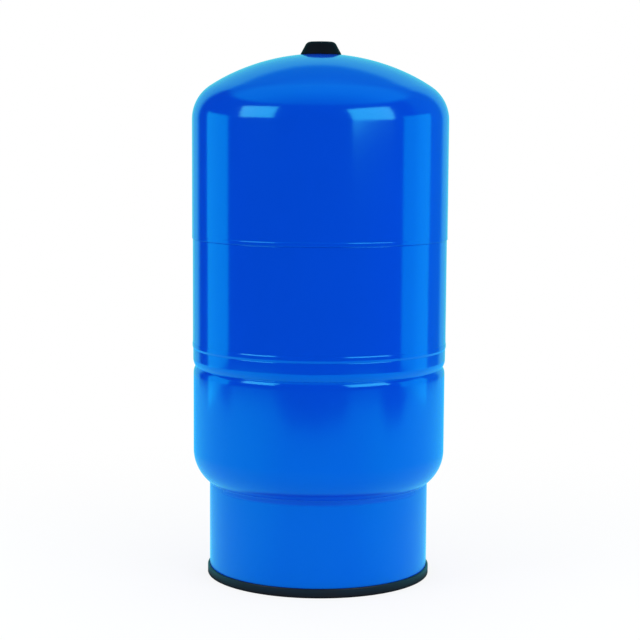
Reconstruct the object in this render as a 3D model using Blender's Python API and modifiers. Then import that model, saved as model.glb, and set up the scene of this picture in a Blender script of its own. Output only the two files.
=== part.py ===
"""Well pressure tank with a clamped diaphragm, standing on a ring base.

Metres, +Z up. The origin is the centre of the circle that stands on the floor. The front looks to -Y,
the water port looks to +Y, and the air valve is at the top.
"""

import math

import bmesh
import bpy

# Fits
SEAT_GAP = 0.0003            # left between pieces that touch
THREAD_CLEARANCE = 0.0005    # round a thread that passes through a plain hole

# Pressed and rolled shells
SHELL_RADIUS = 0.1953        # upper shell, outside
SHELL_WALL = 0.0015
UPPER_SEAM_STEP = 0.0010     # the band is this much smaller in radius than the upper shell
LOWER_SEAM_STEP = 0.0004     # the lower shell is this much smaller than the band
GROOVE_STEP = 0.0005         # the lower shell loses this much radius below its groove
GROOVE_ABOVE_SHOULDER = 0.1336
LOWER_SEAM_ABOVE_GROOVE = 0.0263
BAND_HEIGHT = 0.1681         # from seam to seam
UPPER_WALL_HEIGHT = 0.1780   # from the upper seam to the top shoulder

# Heads, pressed in one shape: crown, middle and knuckle arcs that run into each other
HEAD_CROWN_RADIUS = 0.3160
HEAD_MIDDLE_RADIUS = 0.2600
HEAD_MIDDLE_SPAN = math.radians(7.6)
HEAD_KNUCKLE_RADIUS = 0.0605

# Lapped and welded girth seams
WELD_HEIGHT = 0.0060
JOGGLE_HEIGHT = 0.0020
UPPER_LAP = 0.0120
LOWER_LAP = 0.0080
FLARE = 0.0006               # the band's lower end opens by this much over the lower shell
FLARE_TAPER = 0.0095
LOWER_WELD_HEIGHT = 0.0038

# Rolled groove that clamps the diaphragm
GROOVE_DEPTH = 0.0032
GROOVE_UPPER_FLANK = 0.0127
GROOVE_LOWER_FLANK = 0.0107
GROOVE_ROOT_HEIGHT = 0.0016
RIM_ABOVE_GROOVE = 0.0030
LINER_WALL = 0.0012
DIAPHRAGM_WALL = 0.0020
CLAMP_RING_WALL = 0.0025

# Stand
SKIRT_INSET = 0.0250         # the skirt is this much smaller in radius than the lower shell
SKIRT_WALL = 0.0015
BASE_RING_WEB = 0.0030
BASE_RING_HEIGHT = 0.0139
BASE_RING_OUTER_WALL = 0.0028
BASE_RING_INNER_WALL = 0.0026
BASE_RING_INNER_HEIGHT = 0.0100
BASE_RING_CHAMFER = 0.0012

# Water connection, 1 inch pipe size
PIPE_RADIUS = 0.0167
PIPE_BORE_RADIUS = 0.0133
SPUD_BORE_RADIUS = 0.0125
SPUD_FLANGE_RADIUS = 0.0300
SPUD_FLANGE_THICKNESS = 0.0025
SPUD_SEAT_MARGIN = 0.0060    # the flat in the bottom head runs this far past the flange
FLANGE_COVER_MARGIN = 0.0020 # the diaphragm steps down this far outside the flange
INLET_GASKET_THICKNESS = 0.0010
INLET_WASHER_RADIUS = 0.0270
INLET_WASHER_THICKNESS = 0.0015
LOCKNUT_ACROSS_FLATS = 0.0460
LOCKNUT_THICKNESS = 0.0070
SOCKET_DEPTH = 0.0140
ELBOW_WALL = 0.0040          # round the sockets
ELBOW_THROAT = 0.0010        # radius left in the inside of the bend
ELBOW_COLLAR = 0.0025
ELBOW_COLLAR_HEIGHT = 0.0070
COUPLING_ACROSS_FLATS = 0.0410
COUPLING_LENGTH = 0.0330
PORT_BEYOND_SKIRT = 0.0164
PORT_HOLE_CLEARANCE = 0.0045
PORT_HOLE_ABOVE_RING = 0.01025

# Air valve in the dome
BOSS_RADIUS = 0.0092
BOSS_FLANGE_RADIUS = 0.0140
BOSS_FLANGE_THICKNESS = 0.0024
BOSS_DEPTH = 0.0090          # below the flange
VALVE_SHANK_RADIUS = 0.0065
VALVE_HEX_ACROSS_FLATS = 0.0140
VALVE_HEX_THICKNESS = 0.0030
VALVE_STEM_RADIUS = 0.00385
VALVE_STEM_LENGTH = 0.0080
VALVE_STEM_WALL = 0.0012
VALVE_LOWER_WALL = 0.00155   # stem radius less the bore below the core's seat
VALVE_SEAT_DEPTH = 0.0062
VALVE_SEAT_TAPER = 0.0006
O_RING_RADIUS = 0.0008       # of its round section

# Valve core
CORE_RECESS = 0.0006         # the plug sits this far below the stem's end
CORE_PLUG_LENGTH = 0.0040
CORE_NECK_LENGTH = 0.0016
CORE_BARREL_LENGTH = 0.0100
CORE_BARREL_WALL = 0.00035
CORE_ROOF = 0.0015           # from the barrel's top down to its hollow
CORE_LEDGE = 0.0009
CORE_GASKET_WALL = 0.00035
PIN_RADIUS = 0.0006
PIN_RECESS = 0.0002
PIN_GUIDE_RADIUS = 0.0011
PIN_COLLAR_RADIUS = 0.0013
PIN_COLLAR_THICKNESS = 0.0008
PIN_COLLAR_DROP = 0.0015     # below the roof of the barrel's hollow
PIN_TAIL = 0.0005            # below the cup
SPRING_WIRE_RADIUS = 0.00017
SPRING_TURNS = 4
CUP_RADIUS = 0.0019
CUP_THICKNESS = 0.0009
CUP_SEAL_RADIUS = 0.0018
CUP_SEAL_THICKNESS = 0.0006

# Cap over the air valve
CAP_RADIUS = 0.0313
CAP_HEIGHT = 0.0192
CAP_DRAFT = math.radians(28.4)
CAP_CORNER_RADIUS = 0.0090
CAP_WALL = 0.0020
CAP_COLLAR_WALL = 0.0015

# Facets
SHELL_STEPS = 36
INNER_STEPS = 18
CAP_STEPS = 24
FITTING_STEPS = 16
VALVE_STEPS = 12
CROWN_FACETS = 3
KNUCKLE_FACETS = 5
BOTTOM_CROWN_FACETS = 2
BOTTOM_KNUCKLE_FACETS = 4
INNER_KNUCKLE_FACETS = 2
FLANK_FACETS = 2
INNER_FLANK_FACETS = 1
CAP_CORNER_FACETS = 3
O_RING_FACETS = 6
BEND_FACETS = 4
ELBOW_SIDES = 10
SPRING_POINTS_PER_TURN = 8
SPRING_SIDES = 6
CUTTER_OVERRUN = 0.0010
MERGE_DISTANCE = 0.00001
SHARP_ANGLE = math.radians(30)

# Radii of the shells
UPPER_INSIDE = SHELL_RADIUS - SHELL_WALL
BAND_RADIUS = SHELL_RADIUS - UPPER_SEAM_STEP
BAND_RIM_RADIUS = UPPER_INSIDE - SEAT_GAP
FLARE_RADIUS = BAND_RADIUS + FLARE
COLLAR_RADIUS = BAND_RADIUS - LOWER_SEAM_STEP
LOWER_RIM_RADIUS = FLARE_RADIUS - SHELL_WALL - SEAT_GAP
LOWER_RADIUS = COLLAR_RADIUS - GROOVE_STEP

# How far each layer at the groove lies in from the outside of the lower shell
LINER_INSET = SHELL_WALL + SEAT_GAP
DIAPHRAGM_INSET = LINER_INSET + LINER_WALL + SEAT_GAP
CLAMP_RING_INSET = DIAPHRAGM_INSET + DIAPHRAGM_WALL + SEAT_GAP

# Stand
SKIRT_RADIUS = LOWER_RADIUS - SKIRT_INSET
SKIRT_INSIDE = SKIRT_RADIUS - SKIRT_WALL

# Water connection
PIPE_HOLE_RADIUS = PIPE_RADIUS + THREAD_CLEARANCE
SOCKET_RADIUS = PIPE_RADIUS + SEAT_GAP
SEAT_FLAT_RADIUS = SPUD_FLANGE_RADIUS + SPUD_SEAT_MARGIN
ELBOW_RADIUS = SOCKET_RADIUS + ELBOW_WALL
ELBOW_BEND_RADIUS = ELBOW_RADIUS + ELBOW_THROAT
PORT_END = SKIRT_RADIUS + PORT_BEYOND_SKIRT
COUPLING_START = PORT_END - COUPLING_LENGTH
PORT_HOLE_RADIUS = COUPLING_ACROSS_FLATS / 2 / math.cos(math.pi / 6) + PORT_HOLE_CLEARANCE

# Air valve
BOSS_HOLE_RADIUS = BOSS_RADIUS + SEAT_GAP
BOSS_BORE_RADIUS = VALVE_SHANK_RADIUS + SEAT_GAP
O_RING_CENTRE_RADIUS = VALVE_SHANK_RADIUS + SEAT_GAP + O_RING_RADIUS
O_RING_POCKET_RADIUS = O_RING_CENTRE_RADIUS + O_RING_RADIUS + SEAT_GAP
O_RING_POCKET_DEPTH = 2 * O_RING_RADIUS + SEAT_GAP
VALVE_BORE_RADIUS = VALVE_STEM_RADIUS - VALVE_STEM_WALL
VALVE_LOWER_BORE_RADIUS = VALVE_STEM_RADIUS - VALVE_LOWER_WALL
CORE_PLUG_RADIUS = VALVE_BORE_RADIUS - SEAT_GAP
CORE_BARREL_RADIUS = VALVE_LOWER_BORE_RADIUS - SEAT_GAP
CORE_HOLLOW_RADIUS = CORE_BARREL_RADIUS - CORE_BARREL_WALL
CORE_NECK_RADIUS = CORE_PLUG_RADIUS - CORE_GASKET_WALL - SEAT_GAP
CORE_LEDGE_BORE_RADIUS = PIN_RADIUS + SEAT_GAP
SPRING_RADIUS = CORE_HOLLOW_RADIUS - SEAT_GAP - SPRING_WIRE_RADIUS


def principled(name, colour, roughness, metallic):
    """A material with the piece's colour, roughness and metallic value."""
    material = bpy.data.materials.new(name)
    material.use_nodes = True
    shader = material.node_tree.nodes["Principled BSDF"]
    shader.inputs["Base Color"].default_value = (*colour, 1.0)
    shader.inputs["Roughness"].default_value = roughness
    shader.inputs["Metallic"].default_value = metallic
    material.diffuse_color = (*colour, 1.0)
    return material


def clear_scene():
    """Removes what the opened file holds."""
    for obj in list(bpy.data.objects):
        bpy.data.objects.remove(obj)


def new_collection(name):
    """A collection in the scene."""
    collection = bpy.data.collections.new(name)
    bpy.context.scene.collection.children.link(collection)
    return collection


def new_piece(name, mesh, material):
    """Puts a mesh in the tank's collection as a named piece."""
    obj = bpy.data.objects.new(name, mesh)
    obj.data.materials.append(material)
    TANK.objects.link(obj)
    return obj


def as_tool(obj):
    """Moves a piece to the collection of tools, which cut or join other pieces and don't show."""
    TANK.objects.unlink(obj)
    TOOLS.objects.link(obj)
    obj.hide_render = True
    obj.display_type = "WIRE"
    return obj


def turned(name, profile, steps, material, ring=True):
    """A turned piece: points of (radius, height), spun about Z.

    The profile runs down its outer side. A ring's profile closes on itself, and any other starts and
    ends on the axis.
    """
    vertices = [(radius, 0.0, height) for radius, height in profile]
    edges = [(index, index + 1) for index in range(len(profile) - 1)]
    if ring:
        edges.append((len(profile) - 1, 0))
    mesh = bpy.data.meshes.new(name)
    mesh.from_pydata(vertices, edges, [])
    obj = new_piece(name, mesh, material)
    screw = obj.modifiers.new("Turn", "SCREW")
    screw.axis = "Z"
    screw.angle = 2 * math.pi
    screw.steps = steps
    screw.render_steps = steps
    screw.use_merge_vertices = True
    screw.merge_threshold = MERGE_DISTANCE
    return obj


def turned_rod(name, radius, bottom, top, steps, material):
    """A plain round rod on the Z axis."""
    profile = [(0.0, top), (radius, top), (radius, bottom), (0.0, bottom)]
    return turned(name, profile, steps, material, ring=False)


def turned_ring(name, outer, inner, bottom, top, steps, material):
    """A plain ring or washer of square section."""
    profile = [(outer, top), (outer, bottom), (inner, bottom), (inner, top)]
    return turned(name, profile, steps, material)


def hexagon(name, across_flats, bottom, top, material):
    """A hexagonal prism on the Z axis."""
    bm = bmesh.new()
    corner_radius = across_flats / 2 / math.cos(math.pi / 6)
    bmesh.ops.create_cone(
        bm, cap_ends=True, segments=6, radius1=corner_radius, radius2=corner_radius, depth=top - bottom
    )
    bmesh.ops.translate(bm, verts=bm.verts, vec=(0.0, 0.0, (top + bottom) / 2))
    mesh = bpy.data.meshes.new(name)
    bm.to_mesh(mesh)
    bm.free()
    return new_piece(name, mesh, material)


def tube(name, points, radius, sides, material):
    """A solid round bar along a path, made a closed mesh."""
    curve = bpy.data.curves.new(name, "CURVE")
    curve.dimensions = "3D"
    curve.bevel_depth = radius
    curve.bevel_resolution = (sides - 4) // 2
    curve.use_fill_caps = True
    spline = curve.splines.new("POLY")
    spline.points.add(len(points) - 1)
    for point, place in zip(spline.points, points):
        point.co = (*place, 1.0)
    guide = bpy.data.objects.new(name + "_path", curve)
    TANK.objects.link(guide)
    depsgraph = bpy.context.evaluated_depsgraph_get()
    mesh = bpy.data.meshes.new_from_object(guide.evaluated_get(depsgraph))
    bpy.data.objects.remove(guide)
    bm = bmesh.new()
    bm.from_mesh(mesh)
    bmesh.ops.remove_doubles(bm, verts=bm.verts, dist=MERGE_DISTANCE)
    bmesh.ops.recalc_face_normals(bm, faces=bm.faces)
    bm.to_mesh(mesh)
    bm.free()
    mesh.name = name
    return new_piece(name, mesh, material)


def combine(target, tool, operation):
    """Cuts the tool from the piece, or joins it to the piece."""
    modifier = target.modifiers.new(tool.name, "BOOLEAN")
    modifier.operation = operation
    modifier.solver = "EXACT"
    modifier.object = as_tool(tool)


def finish(obj):
    """Applies the piece's modifiers, and shades it smooth between its sharp edges."""
    depsgraph = bpy.context.evaluated_depsgraph_get()
    mesh = bpy.data.meshes.new_from_object(obj.evaluated_get(depsgraph))
    obj.modifiers.clear()
    obj.data = mesh
    mesh.name = obj.name
    mesh.shade_smooth()
    mesh.set_sharp_from_angle(angle=SHARP_ANGLE)


def lay_to_back(obj, height):
    """Turns a piece that was made on the Z axis so that it points to +Y at the given height."""
    obj.location = (0.0, 0.0, height)
    obj.rotation_euler = (-math.pi / 2, 0.0, 0.0)


def head_curve(shell_radius, shoulder_height, side, inset, first_radii, crown_facets, knuckle_facets):
    """Half section of a pressed head, from the first radii on the crown out to the shoulder.

    Side is 1 for the dome and -1 for the bottom head. Inset is the depth below the outside. The end of
    the middle arc comes from the need that the three arcs end at the shell's radius.
    """
    crown_to_middle = HEAD_CROWN_RADIUS - HEAD_MIDDLE_RADIUS
    middle_to_knuckle = HEAD_MIDDLE_RADIUS - HEAD_KNUCKLE_RADIUS
    along = crown_to_middle * math.cos(HEAD_MIDDLE_SPAN) + middle_to_knuckle
    across = crown_to_middle * math.sin(HEAD_MIDDLE_SPAN)
    reach = (shell_radius - HEAD_KNUCKLE_RADIUS) / math.hypot(along, across)
    knuckle_angle = math.asin(reach) + math.atan2(across, along)
    crown_angle = knuckle_angle - HEAD_MIDDLE_SPAN

    knuckle_centre = (shell_radius - HEAD_KNUCKLE_RADIUS, 0.0)
    middle_centre = (
        crown_to_middle * math.sin(crown_angle),
        -middle_to_knuckle * math.cos(knuckle_angle),
    )
    crown_centre = (0.0, middle_centre[1] - crown_to_middle * math.cos(crown_angle))

    crown = HEAD_CROWN_RADIUS - inset
    angles = [math.asin(radius / crown) for radius in first_radii]
    last = angles[-1]
    angles += [last + (crown_angle - last) * step / crown_facets for step in range(1, crown_facets + 1)]
    points = [(crown_centre, crown, angle) for angle in angles]
    points.append((middle_centre, HEAD_MIDDLE_RADIUS - inset, knuckle_angle))
    for step in range(1, knuckle_facets + 1):
        angle = knuckle_angle + (math.pi / 2 - knuckle_angle) * step / knuckle_facets
        points.append((knuckle_centre, HEAD_KNUCKLE_RADIUS - inset, angle))
    return [
        (
            centre[0] + radius * math.sin(angle),
            shoulder_height + side * (centre[1] + radius * math.cos(angle)),
        )
        for centre, radius, angle in points
    ]


def top_head(inset):
    """Dome section from the boss hole to the shoulder, with a point where the cap stands."""
    return head_curve(
        SHELL_RADIUS,
        TOP_SHOULDER_HEIGHT,
        1,
        inset,
        [BOSS_HOLE_RADIUS, CAP_RADIUS],
        CROWN_FACETS,
        KNUCKLE_FACETS,
    )


def bottom_head(inset, knuckle_facets):
    """Bottom head section from the edge of the flat round the water connection to the shoulder."""
    return head_curve(
        LOWER_RADIUS,
        BOTTOM_SHOULDER_HEIGHT,
        -1,
        inset,
        [SEAT_FLAT_RADIUS],
        BOTTOM_CROWN_FACETS,
        knuckle_facets,
    )


def flank(height, depth, facets):
    """Points (drop, rise) of an arc that leaves the wall without a corner and ends at the given depth."""
    radius = (height**2 + depth**2) / (2 * depth)
    points = []
    for step in range(facets + 1):
        drop = height * step / facets
        points.append((drop, radius - math.sqrt(radius**2 - drop**2)))
    return points


def groove_curve(inset, facets):
    """The rolled groove from top to bottom: an arc in, a short root, and an arc back out."""
    root_radius = LOWER_RADIUS - GROOVE_DEPTH
    half_root = GROOVE_ROOT_HEIGHT / 2
    upper = flank(GROOVE_UPPER_FLANK, COLLAR_RADIUS - root_radius, facets)
    lower = flank(GROOVE_LOWER_FLANK, LOWER_RADIUS - root_radius, facets)
    top = GROOVE_HEIGHT + half_root + GROOVE_UPPER_FLANK
    bottom = GROOVE_HEIGHT - half_root - GROOVE_LOWER_FLANK
    points = [(COLLAR_RADIUS - rise - inset, top - drop) for drop, rise in upper]
    points += [(LOWER_RADIUS - rise - inset, bottom + drop) for drop, rise in reversed(lower)]
    return points


def layer_wall(inset):
    """Wall of a layer that is clamped in the groove, from its rim down."""
    rim = (COLLAR_RADIUS - inset, GROOVE_TOP + RIM_ABOVE_GROOVE)
    return [rim] + groove_curve(inset, INNER_FLANK_FACETS)


def height_at(profile, radius):
    """Height of a faceted profile at a radius."""
    for (inner, inner_height), (outer, outer_height) in zip(profile, profile[1:]):
        if inner <= radius <= outer:
            return inner_height + (outer_height - inner_height) * (radius - inner) / (outer - inner)
    return profile[-1][1]


# Heights of the water connection, up from the base ring to the flat of the bottom head
PORT_HEIGHT = BASE_RING_HEIGHT + PORT_HOLE_ABOVE_RING + PORT_HOLE_RADIUS
ELBOW_TOP = PORT_HEIGHT + ELBOW_BEND_RADIUS + SOCKET_DEPTH
ELBOW_END = ELBOW_BEND_RADIUS + SOCKET_DEPTH
LOCKNUT_TOP = ELBOW_TOP + SEAT_GAP + LOCKNUT_THICKNESS
WASHER_TOP = LOCKNUT_TOP + SEAT_GAP + INLET_WASHER_THICKNESS
SEAT_HEIGHT = WASHER_TOP + SEAT_GAP

# Heights of the shells, so that the bottom head comes down to that flat
HEAD_ABOVE_SEAT = -head_curve(LOWER_RADIUS, 0.0, -1, 0.0, [SEAT_FLAT_RADIUS], 1, 1)[0][1]
BOTTOM_SHOULDER_HEIGHT = SEAT_HEIGHT + HEAD_ABOVE_SEAT
GROOVE_HEIGHT = BOTTOM_SHOULDER_HEIGHT + GROOVE_ABOVE_SHOULDER
GROOVE_TOP = GROOVE_HEIGHT + GROOVE_ROOT_HEIGHT / 2 + GROOVE_UPPER_FLANK
LOWER_SEAM_HEIGHT = GROOVE_HEIGHT + LOWER_SEAM_ABOVE_GROOVE
UPPER_SEAM_HEIGHT = LOWER_SEAM_HEIGHT + BAND_HEIGHT
TOP_SHOULDER_HEIGHT = UPPER_SEAM_HEIGHT + UPPER_WALL_HEIGHT
DOME_OUTSIDE = top_head(0.0)
BOTTOM_OUTSIDE = bottom_head(0.0, BOTTOM_KNUCKLE_FACETS)

# Heights of the inlet flange, up from the liner
LINER_SEAT_HEIGHT = bottom_head(LINER_INSET + LINER_WALL, INNER_KNUCKLE_FACETS)[0][1]
GASKET_BOTTOM = LINER_SEAT_HEIGHT + SEAT_GAP
FLANGE_BOTTOM = GASKET_BOTTOM + INLET_GASKET_THICKNESS + SEAT_GAP
FLANGE_TOP = FLANGE_BOTTOM + SPUD_FLANGE_THICKNESS

# Heights of the air valve, up from the edge of the hole in the dome
FLANGE_SEAT = DOME_OUTSIDE[0][1] + SEAT_GAP
BOSS_TOP = FLANGE_SEAT + BOSS_FLANGE_THICKNESS
HEX_BOTTOM = BOSS_TOP + SEAT_GAP
STEM_END = HEX_BOTTOM + VALVE_HEX_THICKNESS + VALVE_STEM_LENGTH
VALVE_SEAT_TOP = STEM_END - VALVE_SEAT_DEPTH
SHANK_BOTTOM = FLANGE_SEAT - BOSS_DEPTH

# Heights of the valve core, down from the stem's end
PLUG_TOP = STEM_END - CORE_RECESS
NECK_TOP = PLUG_TOP - CORE_PLUG_LENGTH
BARREL_TOP = NECK_TOP - CORE_NECK_LENGTH
BARREL_BOTTOM = BARREL_TOP - CORE_BARREL_LENGTH
HOLLOW_TOP = BARREL_TOP - CORE_ROOF
LEDGE_TOP = BARREL_BOTTOM + CORE_LEDGE
COLLAR_TOP = HOLLOW_TOP - PIN_COLLAR_DROP
COLLAR_BOTTOM = COLLAR_TOP - PIN_COLLAR_THICKNESS
SEAL_TOP = BARREL_BOTTOM - SEAT_GAP
CUP_TOP = SEAL_TOP - CUP_SEAL_THICKNESS - SEAT_GAP
CUP_BOTTOM = CUP_TOP - CUP_THICKNESS


def make_upper_shell():
    """Dome and upper wall, with the weld that laps over the band."""
    half_weld = WELD_HEIGHT / 2
    outside = DOME_OUTSIDE + [
        (SHELL_RADIUS, UPPER_SEAM_HEIGHT + half_weld),
        (BAND_RADIUS + SEAT_GAP, UPPER_SEAM_HEIGHT - half_weld),
    ]
    inside = [(UPPER_INSIDE, UPPER_SEAM_HEIGHT - half_weld)] + top_head(SHELL_WALL)[::-1]
    finish(turned("upper_shell", outside + inside, SHELL_STEPS, BLUE_PAINT))


def make_shell_band():
    """Rolled band. Its upper rim is stepped in, and its lower end opens over the lower shell."""
    weld_toe = UPPER_SEAM_HEIGHT - WELD_HEIGHT / 2 - SEAT_GAP
    flare_top = LOWER_SEAM_HEIGHT + LOWER_LAP + SEAT_GAP
    course = [
        (BAND_RIM_RADIUS, UPPER_SEAM_HEIGHT + UPPER_LAP),
        (BAND_RIM_RADIUS, weld_toe),
        (BAND_RADIUS, weld_toe - JOGGLE_HEIGHT),
        (BAND_RADIUS, flare_top + FLARE_TAPER),
        (FLARE_RADIUS, flare_top),
    ]
    foot = [
        (FLARE_RADIUS, LOWER_SEAM_HEIGHT + LOWER_WELD_HEIGHT / 2),
        (COLLAR_RADIUS + SEAT_GAP, LOWER_SEAM_HEIGHT - LOWER_WELD_HEIGHT / 2),
        (FLARE_RADIUS - SHELL_WALL, LOWER_SEAM_HEIGHT - LOWER_WELD_HEIGHT / 2),
    ]
    inside = [(radius - SHELL_WALL, height) for radius, height in reversed(course)]
    finish(turned("shell_band", course + foot + inside, SHELL_STEPS, BLUE_PAINT))


def make_lower_shell():
    """Lower shell: stepped rim, collar, rolled groove, wall and bottom head with the inlet hole."""
    weld_toe = LOWER_SEAM_HEIGHT - LOWER_WELD_HEIGHT / 2 - SEAT_GAP

    def skin(inset):
        rim = [
            (LOWER_RIM_RADIUS - inset, LOWER_SEAM_HEIGHT + LOWER_LAP),
            (LOWER_RIM_RADIUS - inset, weld_toe),
            (COLLAR_RADIUS - inset, weld_toe - JOGGLE_HEIGHT),
        ]
        head = bottom_head(inset, BOTTOM_KNUCKLE_FACETS)
        groove = groove_curve(inset, FLANK_FACETS)
        return rim + groove + head[::-1] + [(PIPE_HOLE_RADIUS, head[0][1])]

    finish(turned("lower_shell", skin(0.0) + skin(SHELL_WALL)[::-1], SHELL_STEPS, BLUE_PAINT))


def make_base_skirt():
    """Rolled stand, bevelled to fit under the bottom head, with a hole for the port at the back."""
    foot = BASE_RING_WEB + SEAT_GAP
    outline = [
        (SKIRT_RADIUS, height_at(BOTTOM_OUTSIDE, SKIRT_RADIUS) - SEAT_GAP),
        (SKIRT_RADIUS, foot),
        (SKIRT_INSIDE, foot),
        (SKIRT_INSIDE, height_at(BOTTOM_OUTSIDE, SKIRT_INSIDE) - SEAT_GAP),
    ]
    skirt = turned("base_skirt", outline, SHELL_STEPS, BLUE_PAINT)
    hole = turned_rod("port_hole", PORT_HOLE_RADIUS, COUPLING_START, PORT_END, FITTING_STEPS, BLUE_PAINT)
    lay_to_back(hole, PORT_HEIGHT)
    combine(skirt, hole, "DIFFERENCE")
    finish(skirt)


def make_base_ring():
    """Moulded channel that the skirt's lower edge stands in."""
    slot_outside = SKIRT_RADIUS + SEAT_GAP
    slot_inside = SKIRT_INSIDE - SEAT_GAP
    outside = slot_outside + BASE_RING_OUTER_WALL
    inside = slot_inside - BASE_RING_INNER_WALL
    profile = [
        (slot_outside, BASE_RING_HEIGHT),
        (outside - BASE_RING_CHAMFER, BASE_RING_HEIGHT),
        (outside, BASE_RING_HEIGHT - BASE_RING_CHAMFER),
        (outside, 0.0),
        (inside, 0.0),
        (inside, BASE_RING_INNER_HEIGHT),
        (slot_inside, BASE_RING_INNER_HEIGHT),
        (slot_inside, BASE_RING_WEB),
        (slot_outside, BASE_RING_WEB),
    ]
    finish(turned("base_ring", profile, SHELL_STEPS, BLACK_PLASTIC))


def make_chamber_liner():
    """Plastic lining of the water chamber, from the groove down to the inlet."""

    def skin(inset):
        head = bottom_head(inset, INNER_KNUCKLE_FACETS)
        return layer_wall(inset) + head[::-1] + [(PIPE_HOLE_RADIUS, head[0][1])]

    profile = skin(LINER_INSET) + skin(LINER_INSET + LINER_WALL)[::-1]
    finish(turned("chamber_liner", profile, INNER_STEPS, LINER_PLASTIC))


def make_diaphragm():
    """Rubber bowl. With the water chamber empty it lies on the liner and over the inlet flange."""

    def skin(inset, flange_cover):
        head = bottom_head(inset, INNER_KNUCKLE_FACETS)
        plateau = SPUD_FLANGE_RADIUS + FLANGE_COVER_MARGIN
        return layer_wall(inset) + head[::-1] + [(plateau, flange_cover), (0.0, flange_cover)]

    under = FLANGE_TOP + SEAT_GAP
    inner_skin = skin(DIAPHRAGM_INSET + DIAPHRAGM_WALL, under + DIAPHRAGM_WALL)
    outer_skin = skin(DIAPHRAGM_INSET, under)
    finish(turned("diaphragm", inner_skin[::-1] + outer_skin, INNER_STEPS, RUBBER, ring=False))


def make_clamp_ring():
    """Steel hoop rolled into the groove from inside, which holds the rims of diaphragm and liner."""
    outside = groove_curve(CLAMP_RING_INSET, INNER_FLANK_FACETS)
    inside = groove_curve(CLAMP_RING_INSET + CLAMP_RING_WALL, INNER_FLANK_FACETS)
    finish(turned("clamp_ring", outside + inside[::-1], INNER_STEPS, BARE_STEEL))


def make_inlet():
    """Flanged spud through liner and head, with its gasket, washer and locknut."""
    spud_bottom = ELBOW_TOP - SOCKET_DEPTH + SEAT_GAP
    spud = [
        (SPUD_FLANGE_RADIUS, FLANGE_TOP),
        (SPUD_FLANGE_RADIUS, FLANGE_BOTTOM),
        (PIPE_RADIUS, FLANGE_BOTTOM),
        (PIPE_RADIUS, spud_bottom),
        (SPUD_BORE_RADIUS, spud_bottom),
        (SPUD_BORE_RADIUS, FLANGE_TOP),
    ]
    finish(turned("inlet_spud", spud, FITTING_STEPS, BARE_STEEL))

    gasket_top = GASKET_BOTTOM + INLET_GASKET_THICKNESS
    finish(
        turned_ring(
            "inlet_gasket",
            SPUD_FLANGE_RADIUS,
            PIPE_HOLE_RADIUS,
            GASKET_BOTTOM,
            gasket_top,
            FITTING_STEPS,
            RUBBER,
        )
    )
    washer_bottom = WASHER_TOP - INLET_WASHER_THICKNESS
    finish(
        turned_ring(
            "inlet_washer",
            INLET_WASHER_RADIUS,
            PIPE_HOLE_RADIUS,
            washer_bottom,
            WASHER_TOP,
            FITTING_STEPS,
            BARE_STEEL,
        )
    )
    locknut_bottom = LOCKNUT_TOP - LOCKNUT_THICKNESS
    locknut = hexagon("inlet_locknut", LOCKNUT_ACROSS_FLATS, locknut_bottom, LOCKNUT_TOP, BARE_STEEL)
    thread = turned_rod(
        "locknut_thread",
        SOCKET_RADIUS,
        locknut_bottom - CUTTER_OVERRUN,
        LOCKNUT_TOP + CUTTER_OVERRUN,
        FITTING_STEPS,
        BARE_STEEL,
    )
    combine(locknut, thread, "DIFFERENCE")
    finish(locknut)


def bend_path(short):
    """Centre line of the elbow, from its top socket to its back one, short of each face by a length."""
    points = [(0.0, 0.0, ELBOW_TOP - short)]
    for step in range(BEND_FACETS + 1):
        angle = math.pi / 2 * step / BEND_FACETS
        points.append(
            (
                0.0,
                ELBOW_BEND_RADIUS * (1 - math.cos(angle)),
                PORT_HEIGHT + ELBOW_BEND_RADIUS * (1 - math.sin(angle)),
            )
        )
    points.append((0.0, ELBOW_END - short, PORT_HEIGHT))
    return points


def make_inlet_elbow():
    """Cast elbow with a collar and a socket at each end."""
    elbow = tube("inlet_elbow", bend_path(ELBOW_COLLAR_HEIGHT / 2), ELBOW_RADIUS, ELBOW_SIDES, BARE_STEEL)
    collar_radius = ELBOW_RADIUS + ELBOW_COLLAR
    top_collar = turned_rod(
        "top_collar", collar_radius, ELBOW_TOP - ELBOW_COLLAR_HEIGHT, ELBOW_TOP, FITTING_STEPS, BARE_STEEL
    )
    back_collar = turned_rod(
        "back_collar", collar_radius, ELBOW_END - ELBOW_COLLAR_HEIGHT, ELBOW_END, FITTING_STEPS, BARE_STEEL
    )
    bore = tube("elbow_bore", bend_path(CUTTER_OVERRUN), PIPE_BORE_RADIUS, ELBOW_SIDES, BARE_STEEL)
    top_socket = turned_rod(
        "top_socket",
        SOCKET_RADIUS,
        ELBOW_TOP - SOCKET_DEPTH,
        ELBOW_TOP + CUTTER_OVERRUN,
        FITTING_STEPS,
        BARE_STEEL,
    )
    back_socket = turned_rod(
        "back_socket",
        SOCKET_RADIUS,
        ELBOW_END - SOCKET_DEPTH,
        ELBOW_END + CUTTER_OVERRUN,
        FITTING_STEPS,
        BARE_STEEL,
    )
    lay_to_back(back_collar, PORT_HEIGHT)
    lay_to_back(back_socket, PORT_HEIGHT)
    for collar in (top_collar, back_collar):
        combine(elbow, collar, "UNION")
    for hollow in (bore, top_socket, back_socket):
        combine(elbow, hollow, "DIFFERENCE")
    finish(elbow)


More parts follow.
